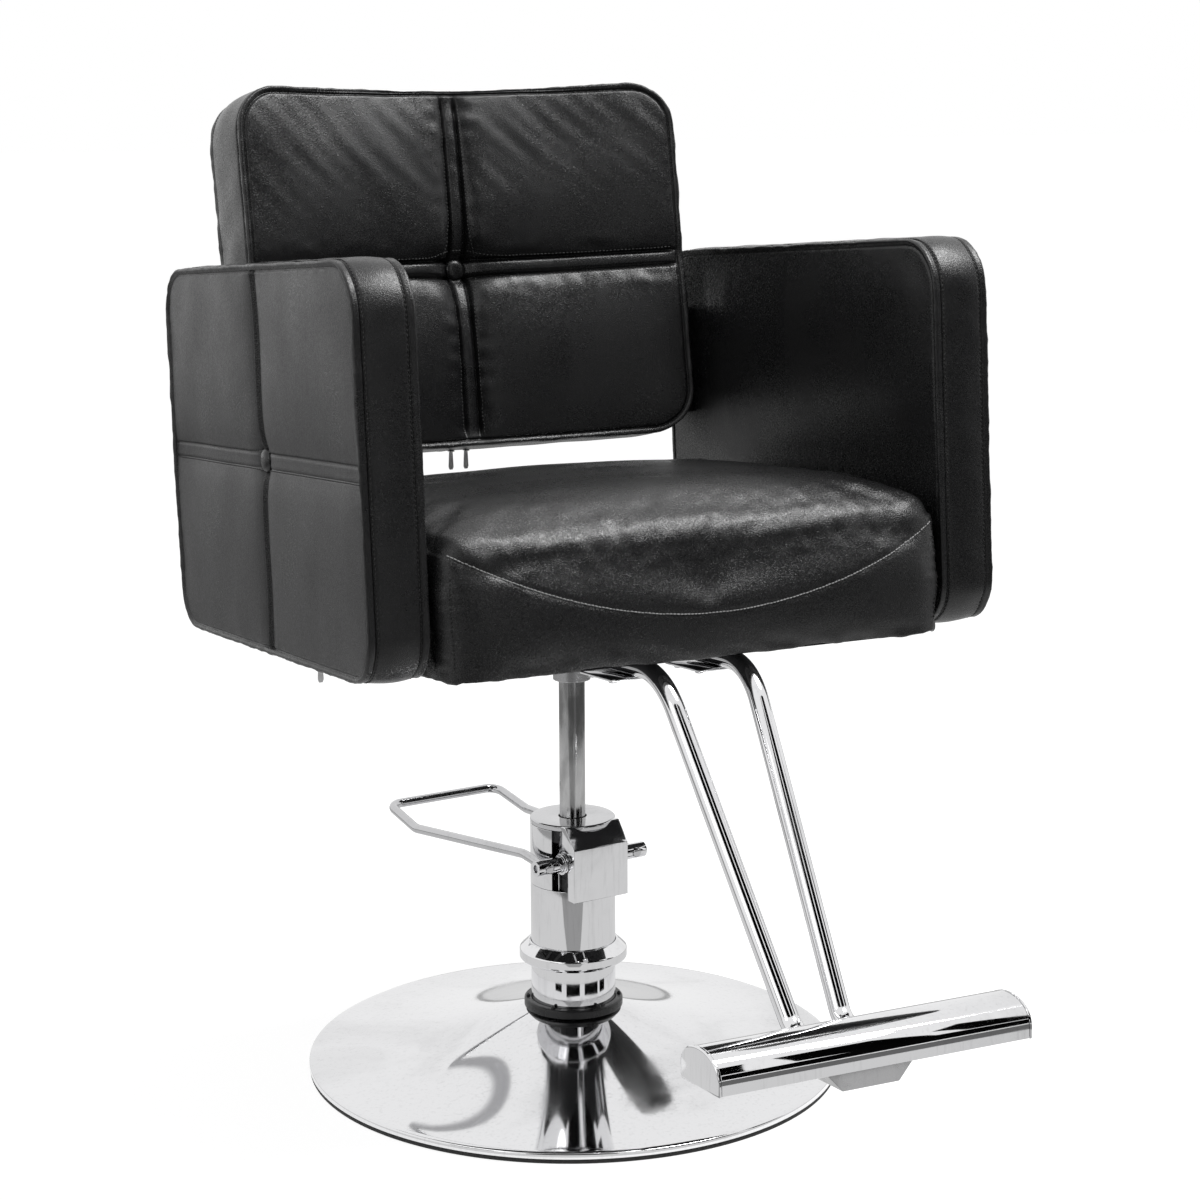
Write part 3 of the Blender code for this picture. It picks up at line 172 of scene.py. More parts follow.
# Glowing grey sheets lie on the floor, for the polished metal and the gloss alone. They are painted reflections: a
# light one round the column, a darker strip that widens towards the camera and is a painted reflection of the shade on
# the floor on the camera's side, a dark one farther out in front and a grey one farther out behind.
for name, strength, height, near, far, near_turns, far_turns in (
        ("card_near", 0.74, 0.0006, 0.30, 1.5, (-179, 181), (-179, 181)),
        ("card_strip", 0.36, 0.0010, 0.40, 1.5, (-34, -12), (-54, 2)),
        ("card_far", 0.15, 0.0006, 1.5, 7.0, (-58, 110), (-58, 110)),
        ("card_back", 0.36, 0.0006, 1.5, 7.0, (110, 302), (110, 302))):
    card = bpy.data.materials.new(name)
    card.use_nodes = True
    card.node_tree.nodes.clear()
    # Each sheet glows though it is no lamp, only to be seen in reflections: painted reflection.
    glow = shader_node(card.node_tree, "ShaderNodeEmission", {"Color": (1, 1, 1, 1), "Strength": strength})
    shader_node(card.node_tree, "ShaderNodeOutputMaterial", {"Surface": glow.outputs[0]})
    edges, parts = [], 48
    for radius, (begin, finish) in ((near, near_turns), (far, far_turns)):
        turns = [math.radians(begin + (finish - begin) * step / parts) for step in range(parts + 1)]
        edges.append([(radius * math.sin(a), -radius * math.cos(a), height) for a in turns])
    flat_sheet(name, edges[0] + edges[1][::-1], card, mirrored_only=True)

for name, place, target, width, power in (
        ("lamp_overhead", (0.95, -0.55, 2.7), (0.0, -0.10, 0.6), 1.2, 54.0),
        ("lamp_side", (-2.3, -1.1, 1.7), (0.0, 0.0, 0.6), 1.2, 6.0)):
    lamp = bpy.data.lights.new(name, 'AREA')
    lamp.shape = 'DISK'
    lamp.size = width
    lamp.energy = power
    held = in_scene(name, lamp)
    held.location = place
    held.rotation_euler = (Vector(target) - Vector(place)).to_track_quat('-Z', 'Y').to_euler()


# ---------------------------------------------------------------- foot
# A heavy disc lies on the floor with a rubber ring round it, under a pressed steel dish that is
# chromed and polished. The dish's rim is rolled down to the rubber.
BASE_RADIUS, RIM_HEIGHT, HUB_HEIGHT, DISH_WALL = 0.280, 0.011, 0.061, 0.002
COLUMN_RADIUS, GAP = 0.0445, 0.0003


def body_of(node):
    """The moving body that a node belongs to."""
    return frame["nodes"][node]["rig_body"]


def built_mesh(name, verts, faces, place=None, merged=True):
    """A mesh from points and faces: doubles merged, moved to its place, its faces turned outward."""
    form = bmesh.new()
    points = [form.verts.new(v) for v in verts]
    for face in faces:
        form.faces.new([points[i] for i in face])
    if merged:
        bmesh.ops.remove_doubles(form, verts=form.verts, dist=1e-7)
        bmesh.ops.dissolve_degenerate(form, edges=form.edges, dist=1e-7)
    if place is not None:
        bmesh.ops.transform(form, matrix=place, verts=form.verts)
    bmesh.ops.recalc_face_normals(form, faces=form.faces)
    mesh = bpy.data.meshes.new(name)
    form.to_mesh(mesh)
    form.free()
    return mesh


def add_piece(name, verts, faces, finish, slot, body=None, node=None, sharp=38.0, place=None):
    """A finished piece in the chair's own place, riding on its body and standing for its node."""
    mesh = built_mesh(name, verts, faces, place)
    mesh.shade_smooth()
    mesh.set_sharp_from_angle(angle=math.radians(sharp))
    mesh.materials.append(finish)
    piece = in_scene(name, mesh)
    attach(piece, body or body_of(node))
    if node:
        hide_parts(node)
    return piece


def softened(outline, radius, steps=3, closed=True):
    """Rounds the corners of an outline of (a, b) points by a small radius."""
    eased = []
    count = len(outline)
    for index, here in enumerate(outline):
        if not closed and index in (0, count - 1):
            eased.append(here)
            continue
        before, after = outline[index - 1], outline[(index + 1) % count]
        into = (before[0] - here[0], before[1] - here[1])
        out = (after[0] - here[0], after[1] - here[1])
        reach_in = min(radius / (math.hypot(*into) or 1.0), 0.45)
        reach_out = min(radius / (math.hypot(*out) or 1.0), 0.45)
        first = (here[0] + into[0] * reach_in, here[1] + into[1] * reach_in)
        last = (here[0] + out[0] * reach_out, here[1] + out[1] * reach_out)
        for step in range(steps + 1):
            t = step / steps
            eased.append(tuple(first[k] * (1 - t) ** 2 + 2 * here[k] * t * (1 - t) + last[k] * t * t
                               for k in (0, 1)))
    return eased


def turned(profile, steps, closed=True, begin=0.0, finish=360.0):
    """Turns a profile of (radius, height) about the Z axis; closed profiles have no point on it."""
    full = abs(finish - begin) > 359.9
    rings = steps if full else steps + 1
    verts, faces = [], []
    for step in range(rings):
        angle = math.radians(begin + (finish - begin) * step / steps)
        verts += [(r * math.cos(angle), r * math.sin(angle), z) for r, z in profile]
    count = len(profile)
    for step in range(steps):
        here, there = step * count, ((step + 1) % rings) * count
        for index in range(count if closed else count - 1):
            after = (index + 1) % count
            faces.append((here + index, there + index, there + after, here + after))
    if not full:
        faces.append(tuple(range(count)))
        faces.append(tuple((rings - 1) * count + i for i in range(count)))
    return verts, faces


def shader_group(name, inputs, outputs):
    """A group of shader nodes, with the sockets that it is given and those that it fills."""
    group = bpy.data.node_groups.new(name, "ShaderNodeTree")
    for title, value in inputs.items():
        group.interface.new_socket(title, in_out='INPUT', socket_type='NodeSocketFloat').default_value = value
    for title in outputs:
        kind = 'NodeSocketColor' if title == "Colour" else 'NodeSocketFloat'
        group.interface.new_socket(title, in_out='OUTPUT', socket_type=kind)
    return group, group.nodes.new("NodeGroupInput").outputs, group.nodes.new("NodeGroupOutput")


def calc(tree, operation, a, b=0.0, c=0.0):
    """One sum on values that change over the surface."""
    return shader_node(tree, "ShaderNodeMath", {0: a, 1: b, 2: c}, operation=operation).outputs[0]


def ramped(tree, value, low, high, to_low=0.0, to_high=1.0):
    """A value's range from low to high, eased onto another range."""
    return shader_node(tree, "ShaderNodeMapRange", {"Value": value, "From Min": low, "From Max": high,
                                                    "To Min": to_low, "To Max": to_high},
                       interpolation_type='SMOOTHSTEP').outputs["Result"]


def stretched(tree, scale):
    """The piece's own coordinates, scaled along each axis."""
    place = shader_node(tree, "ShaderNodeTexCoord")
    return shader_node(tree, "ShaderNodeMapping", {"Vector": place.outputs["Object"], "Scale": scale}).outputs[0]


# Handling marks: cloudy patches where a polish cloth and hands left a thin film, and fine hairlines.
handled, given, result = shader_group("handled_metal", outputs=["Roughness", "Shade"],
                                      inputs={"Patch Size": 9.0, "Roughness": 0.05, "Film": 0.10})
cloud = shader_node(handled, "ShaderNodeTexNoise",
                    {"Vector": stretched(handled, (1, 1, 1)), "Scale": given["Patch Size"], "Detail": 5.0,
                     "Roughness": 0.62, "Distortion": 0.6})
hair = shader_node(handled, "ShaderNodeTexNoise", {"Vector": stretched(handled, (260, 260, 26)), "Scale": 1.0,
                                                   "Detail": 2.0})
patch = ramped(handled, cloud.outputs[0], 0.46, 0.70)
lines = ramped(handled, hair.outputs[0], 0.50, 0.85)
film = calc(handled, 'MULTIPLY', calc(handled, 'ADD', patch, calc(handled, 'MULTIPLY', lines, 0.35)), given["Film"])
handled.links.new(calc(handled, 'ADD', film, given["Roughness"]), result.inputs["Roughness"])
worn = calc(handled, 'ADD', calc(handled, 'MULTIPLY', patch, 0.12), calc(handled, 'MULTIPLY', lines, 0.10))
handled.links.new(calc(handled, 'SUBTRACT', 1.0, worn), result.inputs["Shade"])


def new_finish(name, colour, roughness, metallic=0.0, specular=0.5):
    """A plain material, with its nodes and its shader to work on."""
    finish = bpy.data.materials.new(name)
    finish.use_nodes = True
    shader = finish.node_tree.nodes["Principled BSDF"]
    shader.inputs["Base Color"].default_value = (*colour, 1.0)
    shader.inputs["Roughness"].default_value = roughness
    shader.inputs["Metallic"].default_value = metallic
    shader.inputs["Specular IOR Level"].default_value = specular
    return finish, finish.node_tree, shader


def tinted(tree, colour, shade):
    """A colour made lighter or darker by a mask around 1."""
    return shader_node(tree, "ShaderNodeVectorMath", {0: colour, "Scale": shade}, operation='SCALE').outputs[0]


def metal_finish(name, colour, roughness, film, patch_size=9.0):
    """Metal with handling marks. More film makes the marks duller."""
    finish, tree, shader = new_finish(name, colour, roughness, metallic=1.0)
    marks = tree.nodes.new("ShaderNodeGroup")
    marks.node_tree = handled
    marks.inputs["Patch Size"].default_value = patch_size
    marks.inputs["Roughness"].default_value = roughness
    marks.inputs["Film"].default_value = film
    tree.links.new(marks.outputs["Roughness"], shader.inputs["Roughness"])
    tree.links.new(tinted(tree, colour, marks.outputs["Shade"]), shader.inputs["Base Color"])
    return finish


def bumped(tree, shader, height, distance, strength=1.0):
    """Lets a height over the surface tilt its gloss."""
    bump = shader_node(tree, "ShaderNodeBump", {"Height": height, "Distance": distance, "Strength": strength})
    tree.links.new(bump.outputs[0], shader.inputs["Normal"])


chrome = metal_finish("polished_chrome", (0.78, 0.78, 0.79), 0.045, 0.08)
dish_chrome = metal_finish("dish_chrome", (0.78, 0.78, 0.79), 0.05, 0.09, 6.0)

rubber, tree, shader = new_finish("rim_rubber", (0.018, 0.018, 0.018), 0.7)
mottle = shader_node(tree, "ShaderNodeTexNoise",
                     {"Vector": stretched(tree, (1, 1, 1)), "Scale": 600.0, "Detail": 3.0})
bumped(tree, shader, mottle.outputs[0], 0.0002)
tree.links.new(ramped(tree, mottle.outputs[0], 0.3, 0.7, 0.6, 0.85), shader.inputs["Roughness"])

iron_grey = (0.05, 0.05, 0.052)
iron, tree, shader = new_finish("cast_iron", iron_grey, 0.55, metallic=0.6)
sand = shader_node(tree, "ShaderNodeTexNoise",
                   {"Vector": stretched(tree, (1, 1, 1)), "Scale": 420.0, "Detail": 6.0, "Roughness": 0.7})
bumped(tree, shader, sand.outputs[0], 0.0005)
tree.links.new(tinted(tree, iron_grey, ramped(tree, sand.outputs[0], 0.2, 0.8, 0.7, 1.4)),
               shader.inputs["Base Color"])


def finish_node(node, finish):
    """Gives a solid that stays as it is its real finish."""
    solid = frame["nodes"][node]
    solid.data.materials.clear()
    solid.data.materials.append(finish)


finish_node("base_plate", iron)
hub = COLUMN_RADIUS + GAP
gasket_outer, GASKET_HEIGHT = BASE_RADIUS - 0.001, 0.004
gasket_inner = gasket_outer - 0.010
gasket = softened([(gasket_inner, 0.0), (gasket_outer, 0.0), (gasket_outer, GASKET_HEIGHT),
                   (gasket_inner, GASKET_HEIGHT)], 0.0008)
add_piece("rim_rubber", *turned(gasket, 192), rubber, "black_rubber", node="rim_gasket")


def dish_height(radius):
    """The dish's top: steep at the hub and flat at the rim."""
    part = (radius - hub) / (BASE_RADIUS - hub)
    return RIM_HEIGHT + (HUB_HEIGHT - RIM_HEIGHT) * max(0.0, 1.0 - part) ** 1.7


rim, DISH_STEPS, ROLL_LOW = BASE_RADIUS - DISH_WALL, 44, 0.0043
radii = [hub + (rim - hub) * (step / DISH_STEPS) for step in range(DISH_STEPS + 1)]
upper = [(radius, dish_height(radius)) for radius in radii]
lower = [(radius, height - DISH_WALL) for radius, height in upper[:-2]]
roll = softened([upper[-1], (BASE_RADIUS - 0.0003, RIM_HEIGHT - 0.0008), (BASE_RADIUS, 0.0056),
                 (BASE_RADIUS - 0.0006, ROLL_LOW), (rim - 0.001, ROLL_LOW), (rim - 0.001, RIM_HEIGHT - DISH_WALL)],
                0.0016, 4, closed=False)
add_piece("dish", *turned(list(reversed(lower)) + upper[:-1] + roll, 224), dish_chrome, "polished_chrome",
          node="base_cover")


# ---------------------------------------------------------------- mounting ring
# A flat black steel ring clamps the column to the dish. It has a chamfered upper edge and six small
# black socket screws in its top.
black, tree, shader = new_finish("black_paint", (0.012, 0.012, 0.013), 0.32, specular=0.45)
peel = shader_node(tree, "ShaderNodeTexNoise",
                   {"Vector": stretched(tree, (1, 1, 1)), "Scale": 240.0, "Detail": 3.0})
bumped(tree, shader, peel.outputs[0], 0.00012)
tree.links.new(ramped(tree, peel.outputs[0], 0.3, 0.7, 0.26, 0.42), shader.inputs["Roughness"])
screw_steel = metal_finish("zinc_steel", (0.55, 0.55, 0.56), 0.22, 0.12, 60.0)

RING_RADIUS, RING_HEIGHT, RING_CHAMFER = 0.052, 0.009, 0.0015
ring_low = HUB_HEIGHT + GAP
ring_high = ring_low + RING_HEIGHT
ring = softened([(hub, ring_low), (RING_RADIUS, ring_low), (RING_RADIUS, ring_high - RING_CHAMFER),
                 (RING_RADIUS - RING_CHAMFER, ring_high), (hub, ring_high)], 0.0006)
add_piece("clamp_ring", *turned(ring, 128), black, "black_paint", node="mounting_ring")

# One Geometry Nodes tree sets a small shape on every point of a mesh, turned as the point says.
repeater = bpy.data.node_groups.new("shape_on_each_point", "GeometryNodeTree")
sockets = {}
for title, way, kind in (("Points", 'INPUT', 'NodeSocketGeometry'), ("Shape", 'INPUT', 'NodeSocketObject'),
                         ("Size", 'INPUT', 'NodeSocketFloat'), ("Finish", 'INPUT', 'NodeSocketMaterial'),
                         ("Pieces", 'OUTPUT', 'NodeSocketGeometry')):
    sockets[title] = repeater.interface.new_socket(title, in_out=way, socket_type=kind)
given = repeater.nodes.new("NodeGroupInput").outputs
shape = shader_node(repeater, "GeometryNodeObjectInfo", {"Object": given["Shape"]})
turns = shader_node(repeater, "GeometryNodeInputNamedAttribute", {"Name": "turn"}, data_type='FLOAT_VECTOR')
rotation = shader_node(repeater, "FunctionNodeEulerToRotation", {0: turns.outputs["Attribute"]})
set_out = shader_node(repeater, "GeometryNodeInstanceOnPoints",
                      {"Points": given["Points"], "Instance": shape.outputs["Geometry"],
                       "Rotation": rotation.outputs[0], "Scale": given["Size"]})
real = shader_node(repeater, "GeometryNodeRealizeInstances", {"Geometry": set_out.outputs[0]})
painted = shader_node(repeater, "GeometryNodeSetMaterial",
                      {"Geometry": real.outputs[0], "Material": given["Finish"]})
shader_node(repeater, "NodeGroupOutput", {"Pieces": painted.outputs[0]})


def settled(piece):
    """Turns a piece's live modifiers into its own plain mesh."""
    bpy.context.view_layer.update()
    made = bpy.data.meshes.new_from_object(piece.evaluated_get(bpy.context.evaluated_depsgraph_get()))
    piece.modifiers.clear()
    piece.data = made
    made.name = piece.name
    return made


def repeat_shape(name, places, shape, finish, body, size=1.0):
    """Sets one small shape at each of a list of matrices, as one plain mesh."""
    mesh = bpy.data.meshes.new(name)
    mesh.from_pydata([tuple(m.translation) for m in places], [], [])
    turn = mesh.attributes.new("turn", 'FLOAT_VECTOR', 'POINT')
    turn.data.foreach_set("vector", [c for m in places for c in m.to_euler()])
    piece = in_scene(name, mesh)
    modifier = piece.modifiers.new("repeat", 'NODES')
    modifier.node_group = repeater
    modifier[sockets["Shape"].identifier] = shape
    modifier[sockets["Size"].identifier] = size
    modifier[sockets["Finish"].identifier] = finish
    made = settled(piece)
    made.shade_smooth()
    made.set_sharp_from_angle(angle=math.radians(40))
    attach(piece, body)
    return piece


def pattern_shape(name, verts, faces):
    """A small shape for the repeater, kept out of the scene itself."""
    return bpy.data.objects.new(name, built_mesh(name, verts, faces))


def facing(place, outward, along):
    """A matrix at a place whose Z axis points outward and whose X axis runs along."""
    z = Vector(outward).normalized()
    x = (Vector(along) - z * Vector(along).dot(z)).normalized()
    y = z.cross(x)
    return Matrix(((x.x, y.x, z.x, place[0]), (x.y, y.y, z.y, place[1]), (x.z, y.z, z.z, place[2]),
                   (0, 0, 0, 1)))


def screw_shape(name, radius, height, socket, sides=20):
    """A domed head with a six-sided socket sunk into it."""
    rings = [(radius, 0.0), (radius, height * 0.45), (radius * 0.86, height * 0.9), (socket * 1.15, height),
             (socket, height * 0.97), (socket * 0.95, height * 0.4), (0.0, height * 0.4)]
    return pattern_shape(name, *turned(rings + [(0.0, 0.0)], sides))


ring_screw = screw_shape("ring_screw", 0.0022, 0.0022, 0.0011)
RING_SCREWS, FIRST_SCREW, SCREW_CIRCLE = 6, -81.6, 0.0480
places = []
for step in range(RING_SCREWS):
    angle = math.radians(step * 360 / RING_SCREWS + FIRST_SCREW)
    out = Vector((math.cos(angle), math.sin(angle), 0.0))
    places.append(facing(out * SCREW_CIRCLE + Vector((0, 0, ring_high)), (0, 0, 1), out))
repeat_shape("ring_screws", places, ring_screw, black, body_of("mounting_ring"))


# ---------------------------------------------------------------- column
# The pump's round housing, its bevelled trim collar, the sleeve over the housing's upper half and
# the cap that the lift rod comes out of: steel tube and turned steel, all chromed and polished.
COLUMN_WALL, HOUSING_TOP, COLUMN_TOP, CAP_THICKNESS = 0.003, 0.197, 0.2675, 0.0055
HEAD_BACK, ROD_RADIUS = 0.0215, 0.0135
COLLAR_RADIUS, COLLAR_LOW, COLLAR_HIGH = 0.0565, 0.110, 0.1336
ROUND = 160
bore, HOUSING_LOW = COLUMN_RADIUS - COLUMN_WALL, 0.0083
housing = softened([(bore, HOUSING_LOW), (COLUMN_RADIUS, HOUSING_LOW), (COLUMN_RADIUS, HOUSING_TOP),
                    (bore, HOUSING_TOP)], 0.0005)
add_piece("housing_tube", *turned(housing, ROUND), chrome, "polished_chrome", node="pump_housing")

band = (COLLAR_HIGH - COLLAR_LOW) / 2 - 0.0035
shoulder = COLUMN_RADIUS + 0.002
collar = softened([(hub, COLLAR_LOW), (shoulder, COLLAR_LOW), (COLLAR_RADIUS, COLLAR_LOW + band * 0.6),
                   (COLLAR_RADIUS, COLLAR_HIGH - band * 1.1), (shoulder, COLLAR_HIGH), (hub, COLLAR_HIGH)], 0.0012, 4)
add_piece("collar", *turned(collar, ROUND), chrome, "polished_chrome", node="trim_collar")

# A darker, duller copy of the chrome, for the cap and the pedal rod. Its darker colour is painted shade: it stands in
# for the dim reflections these parts show.
worn_chrome = metal_finish("worn_chrome", (0.56, 0.56, 0.57), 0.09, 0.14, 14.0)
cap_low = COLUMN_TOP - CAP_THICKNESS
hole, CAP_CHAMFER = ROD_RADIUS + 0.0013, 0.0012
cap = softened([(hole, cap_low), (COLUMN_RADIUS, cap_low), (COLUMN_RADIUS, COLUMN_TOP - CAP_CHAMFER),
                (COLUMN_RADIUS - CAP_CHAMFER, COLUMN_TOP), (hole, COLUMN_TOP)], 0.0006)
add_piece("column_cap", *turned(cap, ROUND), worn_chrome, "polished_chrome", node="top_cap")

# The sleeve stops at the pump head on each side of the front.
head_turn = Matrix.Rotation(math.radians(7.0), 4, 'Z')
opening = math.degrees(math.asin(HEAD_BACK / COLUMN_RADIUS))
sleeve = softened([(bore, HOUSING_TOP + GAP), (COLUMN_RADIUS, HOUSING_TOP + GAP), (COLUMN_RADIUS, cap_low - GAP),
                   (bore, cap_low - GAP)], 0.0004)
add_piece("sleeve", *turned(sleeve, 120, begin=-opening, finish=180.0 + opening), chrome, "polished_chrome",
          node="upper_sleeve", place=head_turn)


# ---------------------------------------------------------------- inside the pump
# The cylinder, its valves, the piston, seals and bronze guides: cast iron, ground steel, rubber and
# bronze, oiled. Only a sliver of them shows, through the head's slot and round the rod.
ground = metal_finish("ground_steel", (0.50, 0.50, 0.505), 0.24, 0.10, 40.0)
bronze = metal_finish("bearing_bronze", (0.50, 0.33, 0.15), 0.34, 0.15, 50.0)
spring_steel = metal_finish("spring_steel", (0.30, 0.30, 0.32), 0.28, 0.10, 80.0)
for node in ("foot_valve_block", "cylinder_head", "valve_casting"):
    finish_node(node, iron)
for node in ("pump_barrel", "piston_head", "pump_plunger", "pedal_cam"):
    finish_node(node, ground)
for node in ("rod_guide_bush", "rod_thrust_ring", "shaft_bush_left", "shaft_bush_right"):
    finish_node(node, bronze)
for node in ("wiper_seal", "piston_seal"):
    finish_node(node, rubber)
finish_node("plunger_spring", spring_steel)


# ---------------------------------------------------------------- pump head
# A box folded from chromed sheet, with a sloped shoulder, stands on the front of the column. A slot
# on each side lets the pedal's shaft in from below.
def refined(name, node, finish, edge=0.0005, segments=2, sharp=30.0):
    """A piece with its solid's own shape, its flat faces made whole and its edges broken."""
    form = bmesh.new()
    form.from_mesh(frame["nodes"][node].data)
    bmesh.ops.remove_doubles(form, verts=form.verts, dist=2e-6)
    bmesh.ops.dissolve_limit(form, angle_limit=math.radians(1.0), verts=form.verts, edges=form.edges)
    mesh = bpy.data.meshes.new(name)
    form.to_mesh(mesh)
    form.free()
    piece = in_scene(name, mesh)
    bevel = piece.modifiers.new("edges", 'BEVEL')
    bevel.width = edge
    bevel.segments = segments
    bevel.limit_method = 'ANGLE'
    bevel.angle_limit = math.radians(sharp)
    bevel.harden_normals = False
    made = settled(piece)
    made.shade_smooth()
    made.set_sharp_from_angle(angle=math.radians(sharp - 2))
    made.materials.clear()
    made.materials.append(finish)
    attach(piece, body_of(node))
    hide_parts(node)
    return piece


refined("head_cover", "pump_head_cover", chrome, 0.0009, 3)


# ---------------------------------------------------------------- pedal
# A steel shaft through the head, a washer on each side and one long bent rod that reaches back
# round the column. The rod passes through the shaft's ends, where its cut faces show.
SHAFT_RADIUS, SHAFT_HALF, SHAFT_BORE, WIRE_RADIUS, WIRE_X = 0.008, 0.066, 0.004, 0.005, 0.0532
pedal_place = head_turn @ Matrix.Translation((0.0, -0.0335, 0.2284))
along_x = Matrix.Rotation(math.radians(90.0), 4, 'Y')


def cut_by(piece, name, verts, faces):
    """Cuts a shape out of a finished piece."""
    tool = pattern_shape(name, verts, faces)
    bpy.context.scene.collection.objects.link(tool)
    cutting = piece.modifiers.new(name, 'BOOLEAN')
    cutting.operation, cutting.solver, cutting.object = 'DIFFERENCE', 'EXACT', tool
    settled(piece)
    bpy.data.objects.remove(tool)


bore_end = SHAFT_HALF - 0.006
shaft_profile = softened([(0.0, -bore_end), (SHAFT_BORE, -bore_end), (SHAFT_BORE, -SHAFT_HALF),
                          (SHAFT_RADIUS, -SHAFT_HALF), (SHAFT_RADIUS, SHAFT_HALF), (SHAFT_BORE, SHAFT_HALF),
                          (SHAFT_BORE, bore_end), (0.0, bore_end)], 0.0005, 3, closed=False)
shaft = add_piece("shaft", *turned(shaft_profile, 96, closed=False), chrome, "polished_chrome", node="pedal_shaft",
                  place=pedal_place @ along_x)
along_y = Matrix.Rotation(math.radians(90.0), 4, 'X')
wire_hole, reach = WIRE_RADIUS + GAP, 0.02
for side in (-1, 1):
    verts, faces = turned([(0.0, -reach), (wire_hole, -reach), (wire_hole, reach), (0.0, reach)], 48, closed=False)
    hole_place = pedal_place @ Matrix.Translation((side * WIRE_X, 0, 0)) @ along_y
    cut_by(shaft, "wire_hole", [tuple(hole_place @ Vector(v)) for v in verts], faces)
shaft.data.shade_smooth()
shaft.data.set_sharp_from_angle(angle=math.radians(32))

HEAD_HALF, WASHER_RADIUS, WASHER_THICK = 0.0328, 0.0112, 0.003
for side, name in ((-1, "left"), (1, "right")):
    near = side * (HEAD_HALF + GAP)
    low, high = sorted((near, near + side * WASHER_THICK))
    washer = softened([(SHAFT_RADIUS + GAP, low), (WASHER_RADIUS, low), (WASHER_RADIUS, high),
                       (SHAFT_RADIUS + GAP, high)], 0.0006)
    add_piece("washer_" + name, *turned(washer, 64), chrome, "polished_chrome", node="shaft_washer_" + name,
              place=pedal_place @ along_x)


def rounded_path(corners, radii, steps):
    """A path through corners, each turned by an arc of its own radius."""
    path = [Vector(corners[0])]
    for before, here, after, radius in zip(corners, corners[1:], corners[2:], radii):
        before, here, after = Vector(before), Vector(here), Vector(after)
        into, out = (before - here).normalized(), (after - here).normalized()
        half = into.angle(out) / 2
        reach = radius / math.tan(half)
        centre = here + (into + out).normalized() * (radius / math.sin(half))
        first, last = here + into * reach - centre, here + out * reach - centre
        span = first.angle(last)
        for step in range(steps + 1):
            part = step / steps
            turn = first * math.sin((1 - part) * span) + last * math.sin(part * span)
            path.append(centre + turn / math.sin(span))
    path.append(Vector(corners[-1]))
    return path


def tube_faces(rows, count, capped=True):
    """Faces between rows of points that each run once round a section, with or without end caps."""
    faces = [(row * count + i, row * count + (i + 1) % count, (row + 1) * count + (i + 1) % count,
              (row + 1) * count + i) for row in range(rows - 1) for i in range(count)]
    if capped:
        faces += [tuple(range(count)), tuple((rows - 1) * count + i for i in range(count))]
    return faces


def bar_along(path, section, sides=40):
    """Sweeps a round section along a path. section is a list of (radius, distance past the path's end)."""
    last = len(path) - 1
    tangents = [(path[min(i + 1, last)] - path[max(i - 1, 0)]).normalized() for i in range(last + 1)]
    start = [(path[0] - tangents[0] * past, tangents[0], radius) for radius, past in section]
    finish = [(path[-1] + tangents[-1] * past, tangents[-1], radius) for radius, past in reversed(section)]
    stations = start + [(p, t, section[-1][0]) for p, t in zip(path, tangents)][1:-1] + finish
    side_way = tangents[0].orthogonal().normalized()
    verts = []
    for point, tangent, radius in stations:
        side_way = (side_way - tangent * side_way.dot(tangent)).normalized()
        up_way = tangent.cross(side_way)
        for step in range(sides):
            angle = 2 * math.pi * step / sides
            verts.append(tuple(point + (side_way * math.cos(angle) + up_way * math.sin(angle)) * radius))
    return verts, tube_faces(len(stations), sides)


half_loop = [(WIRE_X, -0.009, 0.0), (WIRE_X, 0.009, 0.0), (WIRE_X, 0.045, 0.003), (0.071, 0.245, -0.016),
             (0.069, 0.310, -0.005)]
corners = [(-x, y, z) for x, y, z in half_loop] + list(reversed(half_loop))
path = rounded_path(corners, [0.03, 0.03, 0.03, 0.015, 0.015, 0.03, 0.03, 0.03], 12)
ends = [(WIRE_RADIUS - 0.0008, 0.0), (WIRE_RADIUS - 0.0002, -0.0003), (WIRE_RADIUS, -0.0009)]
# The pedal rod takes the darker chrome, whose colour is painted shade.
add_piece("pedal_rod", *bar_along(path, ends), worn_chrome, "polished_chrome", node="pedal_loop", place=pedal_place)


# ---------------------------------------------------------------- lift rod and socket
# A ground steel rod, wiped with oil, rises out of the cap. A steel socket on top of it is welded to
# the seat's plate.
rod_grey = (0.50, 0.50, 0.50)
rod_steel, tree, shader = new_finish("oiled_rod", rod_grey, 0.12, metallic=1.0)
rings = shader_node(tree, "ShaderNodeTexNoise",
                    {"Vector": stretched(tree, (6, 6, 900)), "Scale": 1.0, "Detail": 3.0})
blots = shader_node(tree, "ShaderNodeTexNoise",
                    {"Vector": stretched(tree, (60, 60, 22)), "Scale": 1.0, "Detail": 4.0})
bumped(tree, shader, rings.outputs[0], 0.00001)
tree.links.new(ramped(tree, blots.outputs[0], 0.3, 0.7, 0.09, 0.22), shader.inputs["Roughness"])
tree.links.new(tinted(tree, rod_grey, ramped(tree, blots.outputs[0], 0.35, 0.65, 0.72, 1.1)),
               shader.inputs["Base Color"])
rod_low, rod_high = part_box("piston_rod")[0].z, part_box("piston_rod")[1].z
rod_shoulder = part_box("rod_thrust_ring")[1].z + GAP
neck_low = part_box("piston_head")[0].z - GAP
FOOT_RADIUS, NECK_RADIUS = 0.013, 0.009
rod = softened([(0.0, rod_low), (FOOT_RADIUS, rod_low), (FOOT_RADIUS, neck_low), (NECK_RADIUS, neck_low),
                (NECK_RADIUS, rod_shoulder), (ROD_RADIUS, rod_shoulder), (ROD_RADIUS, rod_high), (0.0, rod_high)],
               0.0005, closed=False)
add_piece("lift_rod", *turned(rod, 96, closed=False), rod_steel, "ground_steel", node="piston_rod")
refined("socket", "rod_socket", ground, 0.0006, sharp=25.0)


